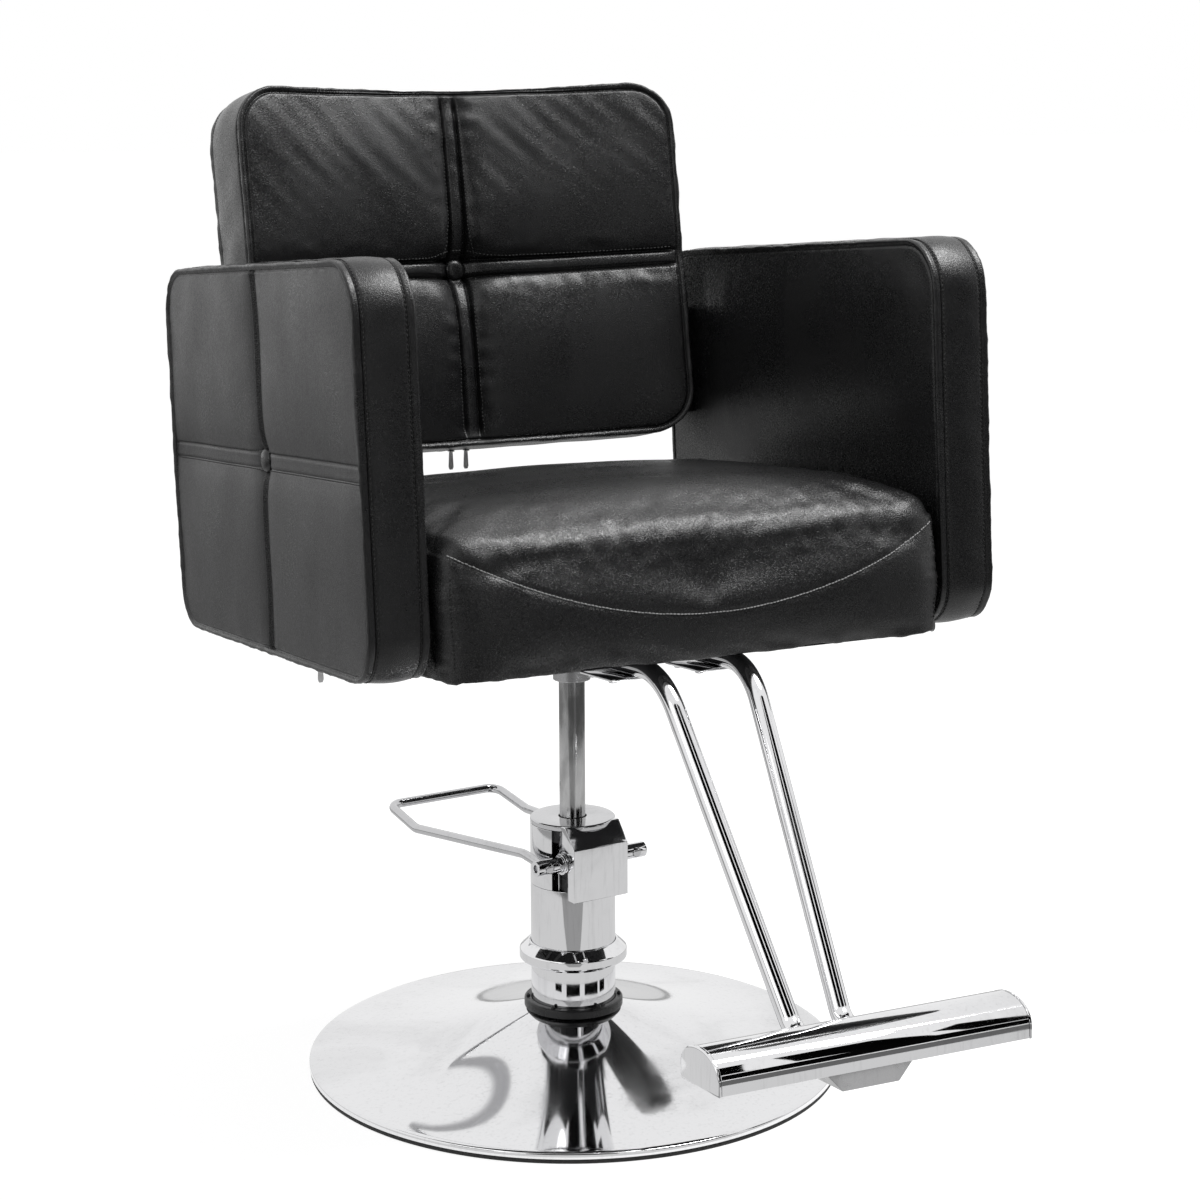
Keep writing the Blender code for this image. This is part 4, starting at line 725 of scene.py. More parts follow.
# ---------------------------------------------------------------- what carries the seat
# A steel plate with two cross channels and an upright strip at each end, all black painted, under a
# plywood board. A thin black lining closes the seat from below.
seat_place = Matrix.Translation((0.0, 0.0, 0.420)) @ Matrix.Rotation(math.radians(-4.8), 4, 'X')
for name, node in (("seat_plate", "mount_plate"), ("front_channel", "front_rail"), ("rear_channel", "rear_rail"),
                   ("arm_strip_left", "arm_plate_left"), ("arm_strip_right", "arm_plate_right")):
    refined(name, node, black, 0.0006)

ply_brown = (0.42, 0.29, 0.17)
plywood, tree, shader = new_finish("plywood", ply_brown, 0.6)
grain = shader_node(tree, "ShaderNodeTexNoise",
                    {"Vector": stretched(tree, (90, 6, 400)), "Scale": 1.0, "Detail": 5.0})
tree.links.new(tinted(tree, ply_brown, ramped(tree, grain.outputs[0], 0.3, 0.7, 0.7, 1.15)),
               shader.inputs["Base Color"])
bumped(tree, shader, grain.outputs[0], 0.0003)
finish_node("seat_board", plywood)

lining_black = (0.014, 0.014, 0.015)
lining, tree, shader = new_finish("spun_lining", lining_black, 0.9, specular=0.2)
fibre = shader_node(tree, "ShaderNodeTexVoronoi", {"Vector": stretched(tree, (700, 700, 700)), "Scale": 1.0})
bumped(tree, shader, fibre.outputs[0], 0.0004)
tree.links.new(tinted(tree, lining_black, ramped(tree, fibre.outputs[0], 0.0, 0.8, 0.7, 1.6)),
               shader.inputs["Base Color"])
finish_node("seat_lining", lining)

plate_bolt = screw_shape("plate_bolt", 0.0055, 0.0035, 0.0026)
SEAT_LOW, LINING_THICK, RAIL_HEIGHT, PLATE_THICK = 0.052, 0.0015, 0.012, 0.006
under_lining = SEAT_LOW - LINING_THICK - 2 * GAP
plate_low = under_lining - RAIL_HEIGHT - GAP - PLATE_THICK
downward = seat_place.to_3x3() @ Vector((0, 0, -1))
places = [facing(seat_place @ Vector((x, y, plate_low)), downward, (1, 0, 0))
          for x in (-0.070, 0.070) for y in (-0.040, 0.062)]
repeat_shape("plate_bolts", places, plate_bolt, screw_steel, body_of("mount_plate"))


# ---------------------------------------------------------------- seat cushion
# Foam over a board, covered in black leatherette: a flat crowned top whose front edge rolls over,
# one curved line of stitches across the front, and a sewn corner on each side of it.
def edge_distance(u, v, half_u, half_v, radii):
    """How far a point lies inside a rounded rectangle. The radii go low left, low right, high left,
    high right."""
    radius = radii[(u > 0) + 2 * (v > 0)]
    a, b = abs(u) - (half_u - radius), abs(v) - (half_v - radius)
    return radius - (math.hypot(a, b) if a > 0 and b > 0 else max(a, b))


def spaced(half, pitch, fine):
    """Grid lines from -half to half: a set of close ones about the middle, then even steps."""
    fine = sorted(f for f in fine if f < half)
    begin = fine[-1] if fine else 0.0
    count = max(1, round((half - begin) / pitch))
    positive = fine + [begin + (half - begin) * (i + 1) / count for i in range(count)]
    positive = [p for p in positive if p > 0]
    return [-p for p in reversed(positive)] + [0.0] + positive


def stuffed_form(half_u, half_v, radii, margin, lines_u, lines_v, offsets, band, front, back, bulge):
    """A box cushion laid out as grids. Returns its points, faces and a lay (u, v, e) for each point,
    where e is minus the distance inside the front edge, then the way across the band, then past it."""
    verts, lay, faces = [], [], []

    def mapped(u, v):
        """The inner grid, its corners eased to the cushion's own radii, and the way outward."""
        radius = radii[(u > 0) + 2 * (v > 0)] - margin
        a = (abs(u) - (half_u - margin - radius)) / radius
        b = (abs(v) - (half_v - margin - radius)) / radius
        if a <= 0 or b <= 0:
            return u, v, (math.copysign(1, u), 0.0) if a > b else (0.0, math.copysign(1, v))
        a, b = a * math.sqrt(1 - b * b / 2), b * math.sqrt(1 - a * a / 2)
        size = math.hypot(a, b)
        return (math.copysign(half_u - margin - radius + a * radius, u),
                math.copysign(half_v - margin - radius + b * radius, v),
                (math.copysign(a / size, u), math.copysign(b / size, v)))

    n, m = len(lines_u), len(lines_v)
    border = [(i, 0) for i in range(n)] + [(n - 1, j) for j in range(1, m)]
    border += [(i, m - 1) for i in range(n - 2, -1, -1)] + [(0, j) for j in range(m - 2, 0, -1)]
    grid = [[mapped(u, v) for v in lines_v] for u in lines_u]
    count = len(border)

    def add(u, v, height, e):
        verts.append((u, v, height))
        lay.append((u, v, e))
        return len(verts) - 1

    def face_side(height, signed):
        cells = []
        for i in range(n):
            cells.append([])
            for j in range(m):
                u, v, _ = grid[i][j]
                d = edge_distance(u, v, half_u, half_v, radii)
                cells[i].append(add(u, v, height(u, v, d), signed(d)))
        for i in range(n - 1):
            for j in range(m - 1):
                faces.append((cells[i][j], cells[i + 1][j], cells[i + 1][j + 1], cells[i][j + 1]))
        loop = [cells[i][j] for i, j in border]
        for d in offsets:
            outer = []
            for i, j in border:
                u, v, way = grid[i][j]
                u, v = u + way[0] * (margin - d), v + way[1] * (margin - d)
                outer.append(add(u, v, height(u, v, d), signed(d)))
            for k in range(count):
                faces.append((loop[k], outer[k], outer[(k + 1) % count], loop[(k + 1) % count]))
            loop = outer
        return loop

    thickness = band[-1]
    loop = face_side(front, lambda d: -d)
    far = face_side(back, lambda d: thickness + d)
    for e in band[:-1]:
        part = e / thickness
        outer = []
        for k, (i, j) in enumerate(border):
            u, v, way = grid[i][j]
            swell = margin + bulge(u, v, way, part)
            high, low = verts[loop[k] if e == band[0] else top_loop[k]][2], verts[far[k]][2]
            outer.append(add(u + way[0] * swell, v + way[1] * swell, high + (low - high) * part, e))
            lay[-1] = (u + way[0] * margin, v + way[1] * margin, e)
        if e == band[0]:
            top_loop = loop
        for k in range(count):
            faces.append((loop[k], outer[k], outer[(k + 1) % count], loop[(k + 1) % count]))
        loop = outer
    for k in range(count):
        faces.append((loop[k], far[k], far[(k + 1) % count], loop[(k + 1) % count]))
    return verts, faces, lay


def points_of(mesh, what="vertices", key="co"):
    """A mesh's points, or their normals, as rows of an array."""
    values = np.empty(len(getattr(mesh, what)) * 3, np.float32)
    getattr(mesh, what).foreach_get(key, values)
    return values.reshape(-1, 3).astype(float)


def swollen(name, verts, faces, lay, sewn, limit, pressure=4.0):
    """Inflates a cushion like a filled cover held at its seams, then halves its mesh spacing."""
    mesh = built_mesh(name, verts, faces, merged=False)
    kept_lay = mesh.attributes.new("lay", 'FLOAT_VECTOR', 'POINT')
    kept_lay.data.foreach_set("vector", [c for row in lay for c in row])
    piece = in_scene(name, mesh)
    held = piece.vertex_groups.new(name="sewn")
    for index, row in enumerate(lay):
        held.add([index], sewn(*row), 'REPLACE')
    puff = piece.modifiers.new("puff", 'CLOTH')
    puff.settings.quality = 5
    puff.settings.mass = 0.3
    puff.settings.tension_stiffness = puff.settings.compression_stiffness = 14.0
    puff.settings.shear_stiffness = 6.0
    puff.settings.bending_stiffness = 0.6
    puff.settings.vertex_group_mass = "sewn"
    puff.settings.use_pressure = True
    puff.settings.uniform_pressure_force = pressure
    puff.settings.effector_weights.gravity = 0.0
    puff.collision_settings.use_collision = False
    frames = 20
    puff.point_cache.frame_start, puff.point_cache.frame_end = 1, frames
    for step in range(1, frames + 1):
        bpy.context.scene.frame_set(step)
    result = piece.evaluated_get(bpy.context.evaluated_depsgraph_get()).data
    rest, moved = points_of(mesh), points_of(result)
    bpy.context.scene.frame_set(1)
    piece.modifiers.clear()
    piece.vertex_groups.clear()
    shift = moved - rest
    size = np.linalg.norm(shift, axis=1, keepdims=True)
    shift *= np.tanh(size / limit) * limit / np.maximum(size, 1e-9)
    mesh.vertices.foreach_set("co", (rest + shift).astype(np.float32).ravel())
    finer = piece.modifiers.new("finer", 'SUBSURF')
    finer.levels = finer.render_levels = 1
    settled(piece).shade_smooth()
    return piece


def lay_of(piece):
    """Where each point lies on its cushion: across, up, and over the edge."""
    values = np.empty(len(piece.data.vertices) * 3, np.float32)
    piece.data.attributes["lay"].data.foreach_get("vector", values)
    return values.reshape(-1, 3).astype(float).T


def dent(distance, width):
    """1 on a line, falling off smoothly to both sides of it."""
    return np.exp(-(distance / width) ** 2)


def ripple(points, pitch, seed, ways=14):
    """Smooth uneven waves, the same each run, about -1 to 1."""
    draw = np.random.default_rng(seed)
    total = np.zeros(len(points))
    for _ in range(ways):
        way = draw.normal(size=3)
        way *= 2 * math.pi / (pitch * draw.uniform(0.7, 1.6)) / np.linalg.norm(way)
        total += np.sin(points @ way + draw.uniform(0, 2 * math.pi))
    return total / math.sqrt(ways / 2) * 0.6


def shaped_by(piece, relief, limit=None):
    """Moves each point along its own normal, then keeps it off the neighbours."""
    mesh = piece.data
    mesh.update()
    at, way = points_of(mesh), points_of(mesh, "vertex_normals", "vector")
    at = at + way * relief[:, None]
    if limit is not None:
        at = limit(at)
    mesh.vertices.foreach_set("co", at.astype(np.float32).ravel())
    mesh.update()


def skin_of(piece):
    """A cover's surface, for laying stitches on it."""
    return BVHTree.FromPolygons([v.co[:] for v in piece.data.vertices],
                                [p.vertices[:] for p in piece.data.polygons])


def stitches_along(skin, path, pitch=0.0034, lift=0.0002, closed=False, reach=0.02):
    """Matrices for thread stitches along a path laid onto a cover."""
    path = [Vector(p) for p in path]
    if closed:
        path.append(path[0])
    laid = []
    for point in path:
        spot = skin.find_nearest(point, reach)[0]
        if spot is not None:
            laid.append(spot)
    lengths = [0.0]
    for here, there in zip(laid, laid[1:]):
        lengths.append(lengths[-1] + (there - here).length)
    places, k = [], 0
    count = int(lengths[-1] / pitch)
    for step in range(count):
        want = (step + 0.5) * lengths[-1] / count
        while k < len(laid) - 2 and lengths[k + 1] < want:
            k += 1
        part = (want - lengths[k]) / max(lengths[k + 1] - lengths[k], 1e-9)
        spot, normal, _, _ = skin.find_nearest(laid[k].lerp(laid[k + 1], part))
        places.append(facing(spot + normal * lift, normal, laid[k + 1] - laid[k]))
    return places


def thread_shape(name, length, width):
    """One stitch: a short thread, humped in the middle, its ends going down into the cover."""
    verts, sides = [], 6
    hump = ((-0.5, -0.9, 0.55), (-0.42, -0.1, 0.8), (-0.2, 0.25, 1.0), (0.2, 0.25, 1.0), (0.42, -0.1, 0.8),
            (0.5, -0.9, 0.55))
    for x, z, size in hump:
        for side in range(sides):
            angle = 2 * math.pi * side / sides
            verts.append((x * length, math.cos(angle) * width / 2 * size,
                          z * width / 2 + math.sin(angle) * width / 2 * size))
    return pattern_shape(name, verts, tube_faces(len(hump), sides))


def moved_to(piece, place):
    """Puts a cushion in its place. A mirrored one has its faces turned outward again."""
    piece.data.transform(place)
    if place.determinant() < 0:
        piece.data.flip_normals()
    piece.data.update()


# Leatherette grain: small irregular pebbles parted by fine creases, with slow changes of sheen.
grained, given, result = shader_group("leatherette_grain", {"Cells": 620.0, "Depth": 1.0, "Lustre": 0.42},
                                      ["Height", "Roughness", "Shade", "Specks"])
own = stretched(grained, (1, 1, 1))
warp = shader_node(grained, "ShaderNodeTexNoise", {"Vector": own, "Scale": 700.0, "Detail": 1.0})
bent = shader_node(grained, "ShaderNodeVectorMath", {0: warp.outputs["Color"], "Scale": 0.0012},
                   operation='SCALE')
place = shader_node(grained, "ShaderNodeVectorMath", {0: own, 1: bent.outputs[0]}, operation='ADD')
cells = shader_node(grained, "ShaderNodeTexVoronoi", {"Vector": place.outputs[0], "Scale": given["Cells"]},
                    feature='DISTANCE_TO_EDGE')
pebbles = ramped(grained, cells.outputs["Distance"], 0.0, 0.30)
slow = shader_node(grained, "ShaderNodeTexNoise", {"Vector": own, "Scale": 9.0, "Detail": 4.0, "Roughness": 0.6})
fine = shader_node(grained, "ShaderNodeTexNoise", {"Vector": own, "Scale": 420.0, "Detail": 2.0, "Roughness": 0.5})
height = calc(grained, 'ADD', calc(grained, 'MULTIPLY', pebbles, 0.7),
              calc(grained, 'MULTIPLY', fine.outputs[0], 0.6))
grained.links.new(calc(grained, 'MULTIPLY', height, given["Depth"]), result.inputs["Height"])
sheen = calc(grained, 'ADD', ramped(grained, slow.outputs[0], 0.3, 0.7, -0.05, 0.05),
             ramped(grained, fine.outputs[0], 0.3, 0.7, 0.05, -0.05))
grained.links.new(calc(grained, 'ADD', given["Lustre"], sheen), result.inputs["Roughness"])
grained.links.new(ramped(grained, fine.outputs[0], 0.25, 0.75, 0.75, 1.3), result.inputs["Shade"])
dusty = shader_node(grained, "ShaderNodeTexNoise", {"Vector": own, "Scale": 1500.0, "Detail": 0.0})
grained.links.new(ramped(grained, dusty.outputs[0], 0.74, 0.80), result.inputs["Specks"])

# Cloudy upright wipe marks on the arms' outer sides. They lighten the colour there, and that lightening is partly
# painted light: it makes the outward sides paler, as the light falling on them does.
wipes_and_side_light, given, result = shader_group("wiped_side", {"Strength": 1.0}, ["Shade", "Roughness"])
streak = shader_node(wipes_and_side_light, "ShaderNodeTexNoise",
                     {"Vector": stretched(wipes_and_side_light, (8, 230, 9)), "Scale": 1.0, "Detail": 4.0, "Roughness": 0.65})
broad = shader_node(wipes_and_side_light, "ShaderNodeTexNoise",
                    {"Vector": stretched(wipes_and_side_light, (5, 40, 4)), "Scale": 1.0, "Detail": 3.0})
both = calc(wipes_and_side_light, 'ADD', calc(wipes_and_side_light, 'MULTIPLY', streak.outputs[0], 0.5),
            calc(wipes_and_side_light, 'MULTIPLY', broad.outputs[0], 0.5))
placed = shader_node(wipes_and_side_light, "ShaderNodeTexCoord")
way, at = (shader_node(wipes_and_side_light, "ShaderNodeSeparateXYZ", {0: placed.outputs[key]}) for key in ("Normal", "Object"))
outward = calc(wipes_and_side_light, 'MULTIPLY', way.outputs[0], calc(wipes_and_side_light, 'SIGN', at.outputs[0]))
lit_side_mask = ramped(wipes_and_side_light, outward, 0.80, 0.98)
marked = calc(wipes_and_side_light, 'MULTIPLY', ramped(wipes_and_side_light, both, 0.38, 0.64), lit_side_mask)
amount = calc(wipes_and_side_light, 'MULTIPLY', marked, given["Strength"])
# The marks lighten the colour to about twice; on the outward sides this is partly painted light.
wipes_and_side_light.links.new(calc(wipes_and_side_light, 'ADD', 1.0, calc(wipes_and_side_light, 'MULTIPLY', amount, 1.1)), result.inputs["Shade"])
wipes_and_side_light.links.new(calc(wipes_and_side_light, 'MULTIPLY', lit_side_mask, 0.05), result.inputs["Roughness"])


def leatherette(name, colour, lustre, depth=1.0, wipe_and_side_light=0.0, specks=0.0):
    """Grained cover cloth. The wipe strength gives it wipe marks that also lighten the outer sides as painted light,
    and specks give it fine pale dust.
    """
    finish, tree, shader = new_finish(name, colour, lustre)
    grain = tree.nodes.new("ShaderNodeGroup")
    grain.node_tree = grained
    grain.inputs["Depth"].default_value = depth
    grain.inputs["Lustre"].default_value = lustre
    shade, rough = grain.outputs["Shade"], grain.outputs["Roughness"]
    if wipe_and_side_light:
        marks = tree.nodes.new("ShaderNodeGroup")
        marks.node_tree = wipes_and_side_light
        marks.inputs["Strength"].default_value = wipe_and_side_light
        shade = calc(tree, 'MULTIPLY', shade, marks.outputs["Shade"])
        rough = calc(tree, 'ADD', rough, marks.outputs["Roughness"])
    shaded = tinted(tree, colour, shade)
    if specks:
        dust = calc(tree, 'MULTIPLY', grain.outputs["Specks"], specks)
        shaded = shader_node(tree, "ShaderNodeMix", {"Factor": dust, "A": shaded, "B": (0.35, 0.35, 0.35, 1.0)},
                             data_type='RGBA').outputs["Result"]
    tree.links.new(shaded, shader.inputs["Base Color"])
    tree.links.new(rough, shader.inputs["Roughness"])
    bumped(tree, shader, grain.outputs["Height"], 0.00020, 0.8)
    return finish


def thread_finish(name, colour):
    """Sewing thread, its shade changing along its twist."""
    finish, tree, shader = new_finish(name, colour, 0.6)
    twist = shader_node(tree, "ShaderNodeTexNoise", {"Vector": stretched(tree, (1, 1, 1)), "Scale": 2600.0})
    tree.links.new(tinted(tree, colour, ramped(tree, twist.outputs[0], 0.3, 0.7, 0.7, 1.3)),
                   shader.inputs["Base Color"])
    return finish


seat_cover = leatherette("seat_leatherette", (0.009, 0.009, 0.0095), 0.28, 1.1, specks=0.15)
grey_thread = thread_finish("grey_thread", (0.42, 0.42, 0.42))
dim_thread = thread_finish("dark_grey_thread", (0.045, 0.045, 0.045))
dark_thread = thread_finish("black_thread", (0.003, 0.003, 0.003))
stitch = thread_shape("stitch", 0.0027, 0.0009)

SEAT_HALF_X, SEAT_FRONT, SEAT_REAR, SEAT_TOP, SEAT_THICK = 0.2605, -0.308, 0.165, 0.209, 0.147
SEAT_MARGIN, PAD_PITCH = 0.022, 0.0085
seat_middle = (SEAT_FRONT + SEAT_REAR) / 2
seat_half_y = (SEAT_REAR - SEAT_FRONT) / 2
seat_radii = (0.034, 0.034, 0.030, 0.030)


def seat_top(u, v, d):
    """The crowned top. It falls towards the front and rolls over at its edge."""
    fall_length, roll = 0.110, 0.020
    crown = 0.012 * (1 - (u / SEAT_HALF_X) ** 2) * (1 - (v / seat_half_y) ** 4)
    over = max(0.0, (fall_length - (v + seat_half_y)) / fall_length)
    edge = roll - math.sqrt(max(0.0, roll * roll - max(0.0, roll - d) ** 2))
    return SEAT_TOP - 0.0150 + crown - 0.016 * over ** 2.2 - edge * 0.9


def seat_under(u, v, d):
    """The underside, with a recess for the board inside its rim."""
    rim_width, recess = 0.0275, 0.0128
    return SEAT_LOW + 0.0004 + recess * min(1.0, max(0.0, (d - rim_width) / 0.0015))


def seat_bulge(u, v, way, part):
    """The band swells between its seams, less at the sides, where the arms hold it."""
    if abs(way[0]) > 0.9:
        return 0.0035 * math.sin(math.pi * min(1.0, part * 1.15))
    return 0.006 * math.sin(math.pi * part)


seat_rings = [0.018, 0.014, 0.0105, 0.0075, 0.005, 0.003, 0.0014, 0.0004, 0.0]
seat_band = [0.004, 0.011, 0.019, 0.027, 0.035, 0.043, 0.051, 0.059, 0.067, 0.075, 0.083, 0.091, 0.099, 0.107,
             0.115, 0.123, 0.131, 0.138, 0.143, SEAT_THICK]
form = stuffed_form(SEAT_HALF_X, seat_half_y, seat_radii, SEAT_MARGIN, spaced(SEAT_HALF_X - SEAT_MARGIN, PAD_PITCH, []),
                    spaced(seat_half_y - SEAT_MARGIN, PAD_PITCH, []), seat_rings, seat_band, seat_top, seat_under,
                    seat_bulge)


def seat_held(u, v, e):
    """Held along the board, and where the sides lie against the arms."""
    if e > SEAT_THICK - 0.004:
        return 1.0
    if e > 0 and (abs(u) > SEAT_HALF_X - 0.01 or v > seat_half_y - 0.01):
        return 0.92
    return 0.0


def front_line_height(u):
    """The curved line of stitches across the front, low in the middle."""
    return 0.0945 + np.where(u < 0.005, 1.087, 1.04) * (u - 0.005) ** 2


seat = swollen("seat_pad", *form, seat_held, 0.006)
u, v, e = lay_of(seat)
at = points_of(seat.data)
smile = front_line_height(u)
front_face = (e > 0) & (v < -seat_half_y + 0.012)
line_gap = np.where(front_face, at[:, 2] - smile, 1.0)
corner_gap = np.where((e > 0) & (v < -seat_half_y + 0.034), np.abs(np.abs(u) - (SEAT_HALF_X - 0.008)), 1.0)
relief = 0.0011 * ripple(at, 0.075, 3) * dent(np.minimum(e, 0), 0.16)
relief -= 0.0016 * dent(line_gap, 0.0018)
relief += 0.0022 * dent(corner_gap, 0.0042) - 0.0036 * dent(corner_gap, 0.0014)
relief += 0.0012 * dent(corner_gap, 0.014) * ripple(at, 0.014, 5)
relief += 0.0006 * ripple(at, 0.020, 7) * ((e > -0.05) & (e < 0.02))
relief += 0.0012 * ripple(at, 0.022, 9) * dent(e - SEAT_THICK, 0.018)


def seat_limits(at):
    """Keeps the sides off the arms and their upright strips, and the rear clear of the backrest."""
    strip_top, strip_front, strip_rear = 0.089, -0.10, 0.13
    beside_strip = ((at[:, 2] < strip_top) & (at[:, 1] > strip_front - seat_middle)
                    & (at[:, 1] < strip_rear - seat_middle))
    side = np.where(beside_strip, 0.2643, 0.2672)
    at[:, 0] = np.clip(at[:, 0], -side, side)
    at[:, 1] = np.minimum(at[:, 1], 0.1775 - seat_middle)
    return at


shaped_by(seat, relief, seat_limits)
skin = skin_of(seat)
front_line, points = [], 160
for step in range(points):
    x = -0.251 + 0.503 * step / (points - 1)
    hit = skin.ray_cast(Vector((x, -seat_half_y - 0.05, float(front_line_height(x)))), Vector((0, 1, 0)))[0]
    if hit is not None:
        front_line.append(hit)
front_stitches = stitches_along(skin, front_line, 0.0036, 0.0003)
corner_stitches = []
for side in (-1, 1):
    corner = [(side * (SEAT_HALF_X - 0.005), -seat_half_y + 0.004, z / 1000) for z in range(62, 150, 4)]
    corner_stitches += stitches_along(skin, corner, 0.0042, reach=0.04)
lay_seat = seat_place @ Matrix.Translation((0.0, seat_middle, 0.0))
moved_to(seat, lay_seat)
seat.data.materials.append(seat_cover)
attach(seat, body_of("seat_cushion"))
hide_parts("seat_cushion")
repeat_shape("seat_front_stitches", [lay_seat @ m for m in front_stitches], stitch, grey_thread,
             body_of("seat_cushion"), 1.2)
repeat_shape("seat_corner_stitches", [lay_seat @ m for m in corner_stitches], stitch, dark_thread,
             body_of("seat_cushion"))


# ---------------------------------------------------------------- arms
# Each arm is a padded slab in a boxed cover: two sides and a band, a raised ridge where they are
# sewn, a stitched line on the band beside it, quartered by two seams and drawn in by one button.
ARM_INNER, ARM_THICK, ARM_FRONT, ARM_REAR, ARM_LOW, ARM_TOP = 0.268, 0.058, -0.287, 0.277, 0.054, 0.428
PAD_MARGIN, BAND_SEAM, BUTTON_RIM = 0.014, 0.0071, 0.0128
arm_half_u, arm_half_v = (ARM_REAR - ARM_FRONT) / 2, (ARM_TOP - ARM_LOW) / 2
arm_mid_u, arm_mid_v = (ARM_REAR + ARM_FRONT) / 2, (ARM_TOP + ARM_LOW) / 2
arm_radii = (0.042, 0.042, 0.050, 0.050)
BACK_EDGE_Y = 0.188


def arm_outside(u, v, d):
    """The outer face, sunk a little inside its piped edge."""
    return ARM_INNER + ARM_THICK - 0.0022 * (1 - math.exp(-d / 0.012))


def arm_inside(u, v, d):
    """The inner face, fuller above the seat and ahead of the backrest."""
    above_seat = min(1.0, max(0.0, (v + arm_mid_v - SEAT_TOP) / 0.060))
    ahead = min(1.0, max(0.0, (BACK_EDGE_Y - u - arm_mid_u) / 0.060))
    inward = 1.0 - math.exp(-(d / 0.035) ** 2)
    return ARM_INNER + 0.0006 - 0.0075 * above_seat * ahead * inward


def across_band(inner, thick):
    """Lines across a band, close together at both of its seams."""
    half = [0.0012, 0.0024, 0.0038, 0.0054, 0.0063, 0.0071, 0.0079, 0.0090, 0.0115] + inner
    return half + [thick / 2] + [thick - b for b in reversed(half)] + [thick]


edge_rings = [0.0105, 0.0080, 0.0062, 0.0050, 0.0042, 0.0034, 0.0024, 0.0012, 0.0]
arm_band = across_band([0.0155, 0.0215], ARM_THICK)
seam_lines = [0.0008, 0.0016, 0.0025, 0.0034, 0.0046, 0.0070]
strip_lines = [0.0030, 0.0056, 0.0065, 0.0073, 0.0081, 0.0092, 0.0115]


def arm_held(u, v, e):
    """Held at the seams, the cross seams and the button, and where the seat and backrest press."""
    near_seam = abs(u) < 0.006 or abs(v) < 0.010
    if -0.006 < e < 0.0095 or ARM_THICK - 0.0095 < e < ARM_THICK + 0.006:
        return 1.0
    if e < 0:
        return 1.0 if near_seam or math.hypot(u, v) < 0.02 else 0.0
    if e <= ARM_THICK:
        return 0.55
    above = min(1.0, max(0.0, (v + arm_mid_v - SEAT_TOP) / 0.060))
    ahead = min(1.0, max(0.0, (0.150 - u - arm_mid_u) / 0.060))
    return 1.0 - above * ahead


form = stuffed_form(arm_half_u, arm_half_v, arm_radii, PAD_MARGIN,
                    spaced(arm_half_u - PAD_MARGIN, PAD_PITCH, seam_lines),
                    spaced(arm_half_v - PAD_MARGIN, PAD_PITCH, strip_lines), edge_rings, arm_band, arm_outside,
                    arm_inside, lambda u, v, way, part: 0.0036 * math.sin(math.pi * part) ** 0.7)
cover_black = (0.008, 0.008, 0.0085)
# The arms' cover takes the wipe marks, with their painted light on the outer sides.
arm_cover = leatherette("arm_leatherette", cover_black, 0.30, 0.8, wipe_and_side_light=1.0, specks=0.10)
button_cover = leatherette("button_leatherette", cover_black, 0.24, 0.4)


def both_edges(e, thick, aside, width):
    """A dent line along both edges of a band, moved aside from them."""
    return dent(e + aside, width) + dent(thick - e + aside, width)


arm = swollen("arm_pad_left", *form, arm_held, 0.0045)
u, v, e = lay_of(arm)
at = points_of(arm.data)
on_side = e < 0
from_button = np.hypot(u, v)
relief = 0.0016 * both_edges(e, ARM_THICK, 0.0, 0.0032)
relief -= 0.0012 * both_edges(e, ARM_THICK, 0.0046, 0.0012)
relief -= 0.0018 * both_edges(e, ARM_THICK, -BAND_SEAM, 0.0012)
relief += np.where(on_side & (e < -0.004), 0.0034 * dent(u - 0.0006, 0.0020) - 0.0030 * dent(u + 0.0050, 0.0024)
                   - 0.0022 * dent(u - 0.0050, 0.0012) - 0.0010 * dent(np.abs(v) - 0.0073, 0.0012)
                   - 0.0026 * dent(u, 0.014) - 0.0014 * dent(v, 0.020), 0.0)
relief -= np.where(on_side, 0.0050 * dent(from_button, 0.024) + 0.0030 * dent(from_button - BUTTON_RIM, 0.0016), 0.0)
relief += 0.00030 * ripple(at, 0.012, 11) * both_edges(e, ARM_THICK, 0.0, 0.010)
relief += np.where(on_side, 0.0005 * ripple(at, 0.075, 12), 0.0004 * ripple(at, 0.035, 13) * (e < ARM_THICK))


def arm_limits(at):
    """Keeps the inner face off the seat below and the backrest behind."""
    beside_seat = at[:, 1] + arm_mid_v < SEAT_TOP - 0.004
    beside_back = at[:, 0] + arm_mid_u > 0.175
    low_inside = (at[:, 2] < ARM_INNER + 0.02) & (beside_seat | beside_back)
    at[:, 2] = np.where(low_inside, np.maximum(at[:, 2], ARM_INNER), at[:, 2])
    return at


shaped_by(arm, relief, arm_limits)
skin = skin_of(arm)


def outline_path(half_u, half_v, radii, height, outset=0.0, steps=14):
    """The cushion's rounded outline at one height, moved outward by a small step."""
    path = []
    for index, (su, sv, start) in enumerate(((1, -1, -90), (1, 1, 0), (-1, 1, 90), (-1, -1, 180))):
        radius = radii[(su > 0) + 2 * (sv > 0)]
        centre = (su * (half_u - radius), sv * (half_v - radius))
        for step in range(steps + 1):
            angle = math.radians(start + 90 * step / steps)
            path.append((centre[0] + (radius + outset) * math.cos(angle),
                         centre[1] + (radius + outset) * math.sin(angle), height))
    dense = []
    for here, there in zip(path, path[1:] + path[:1]):
        parts = max(1, int(math.dist(here, there) / 0.006))
        dense += [tuple(here[k] + (there[k] - here[k]) * i / parts for k in range(3)) for i in range(parts)]
    return dense


arm_high = ARM_INNER + ARM_THICK
band_rows = [outline_path(arm_half_u, arm_half_v, arm_radii, height, 0.003)
             for height in (arm_high - BAND_SEAM, ARM_INNER + 0.0077)]
arm_stitches = sum((stitches_along(skin, row, 0.0044, 0.0003, closed=True) for row in band_rows), [])
for offset in (-0.0073, 0.0073):
    row = [(x / 1000, offset, arm_high) for x in range(-274, 275, 5)]
    arm_stitches += stitches_along(skin, row, 0.0044, 0.0003)

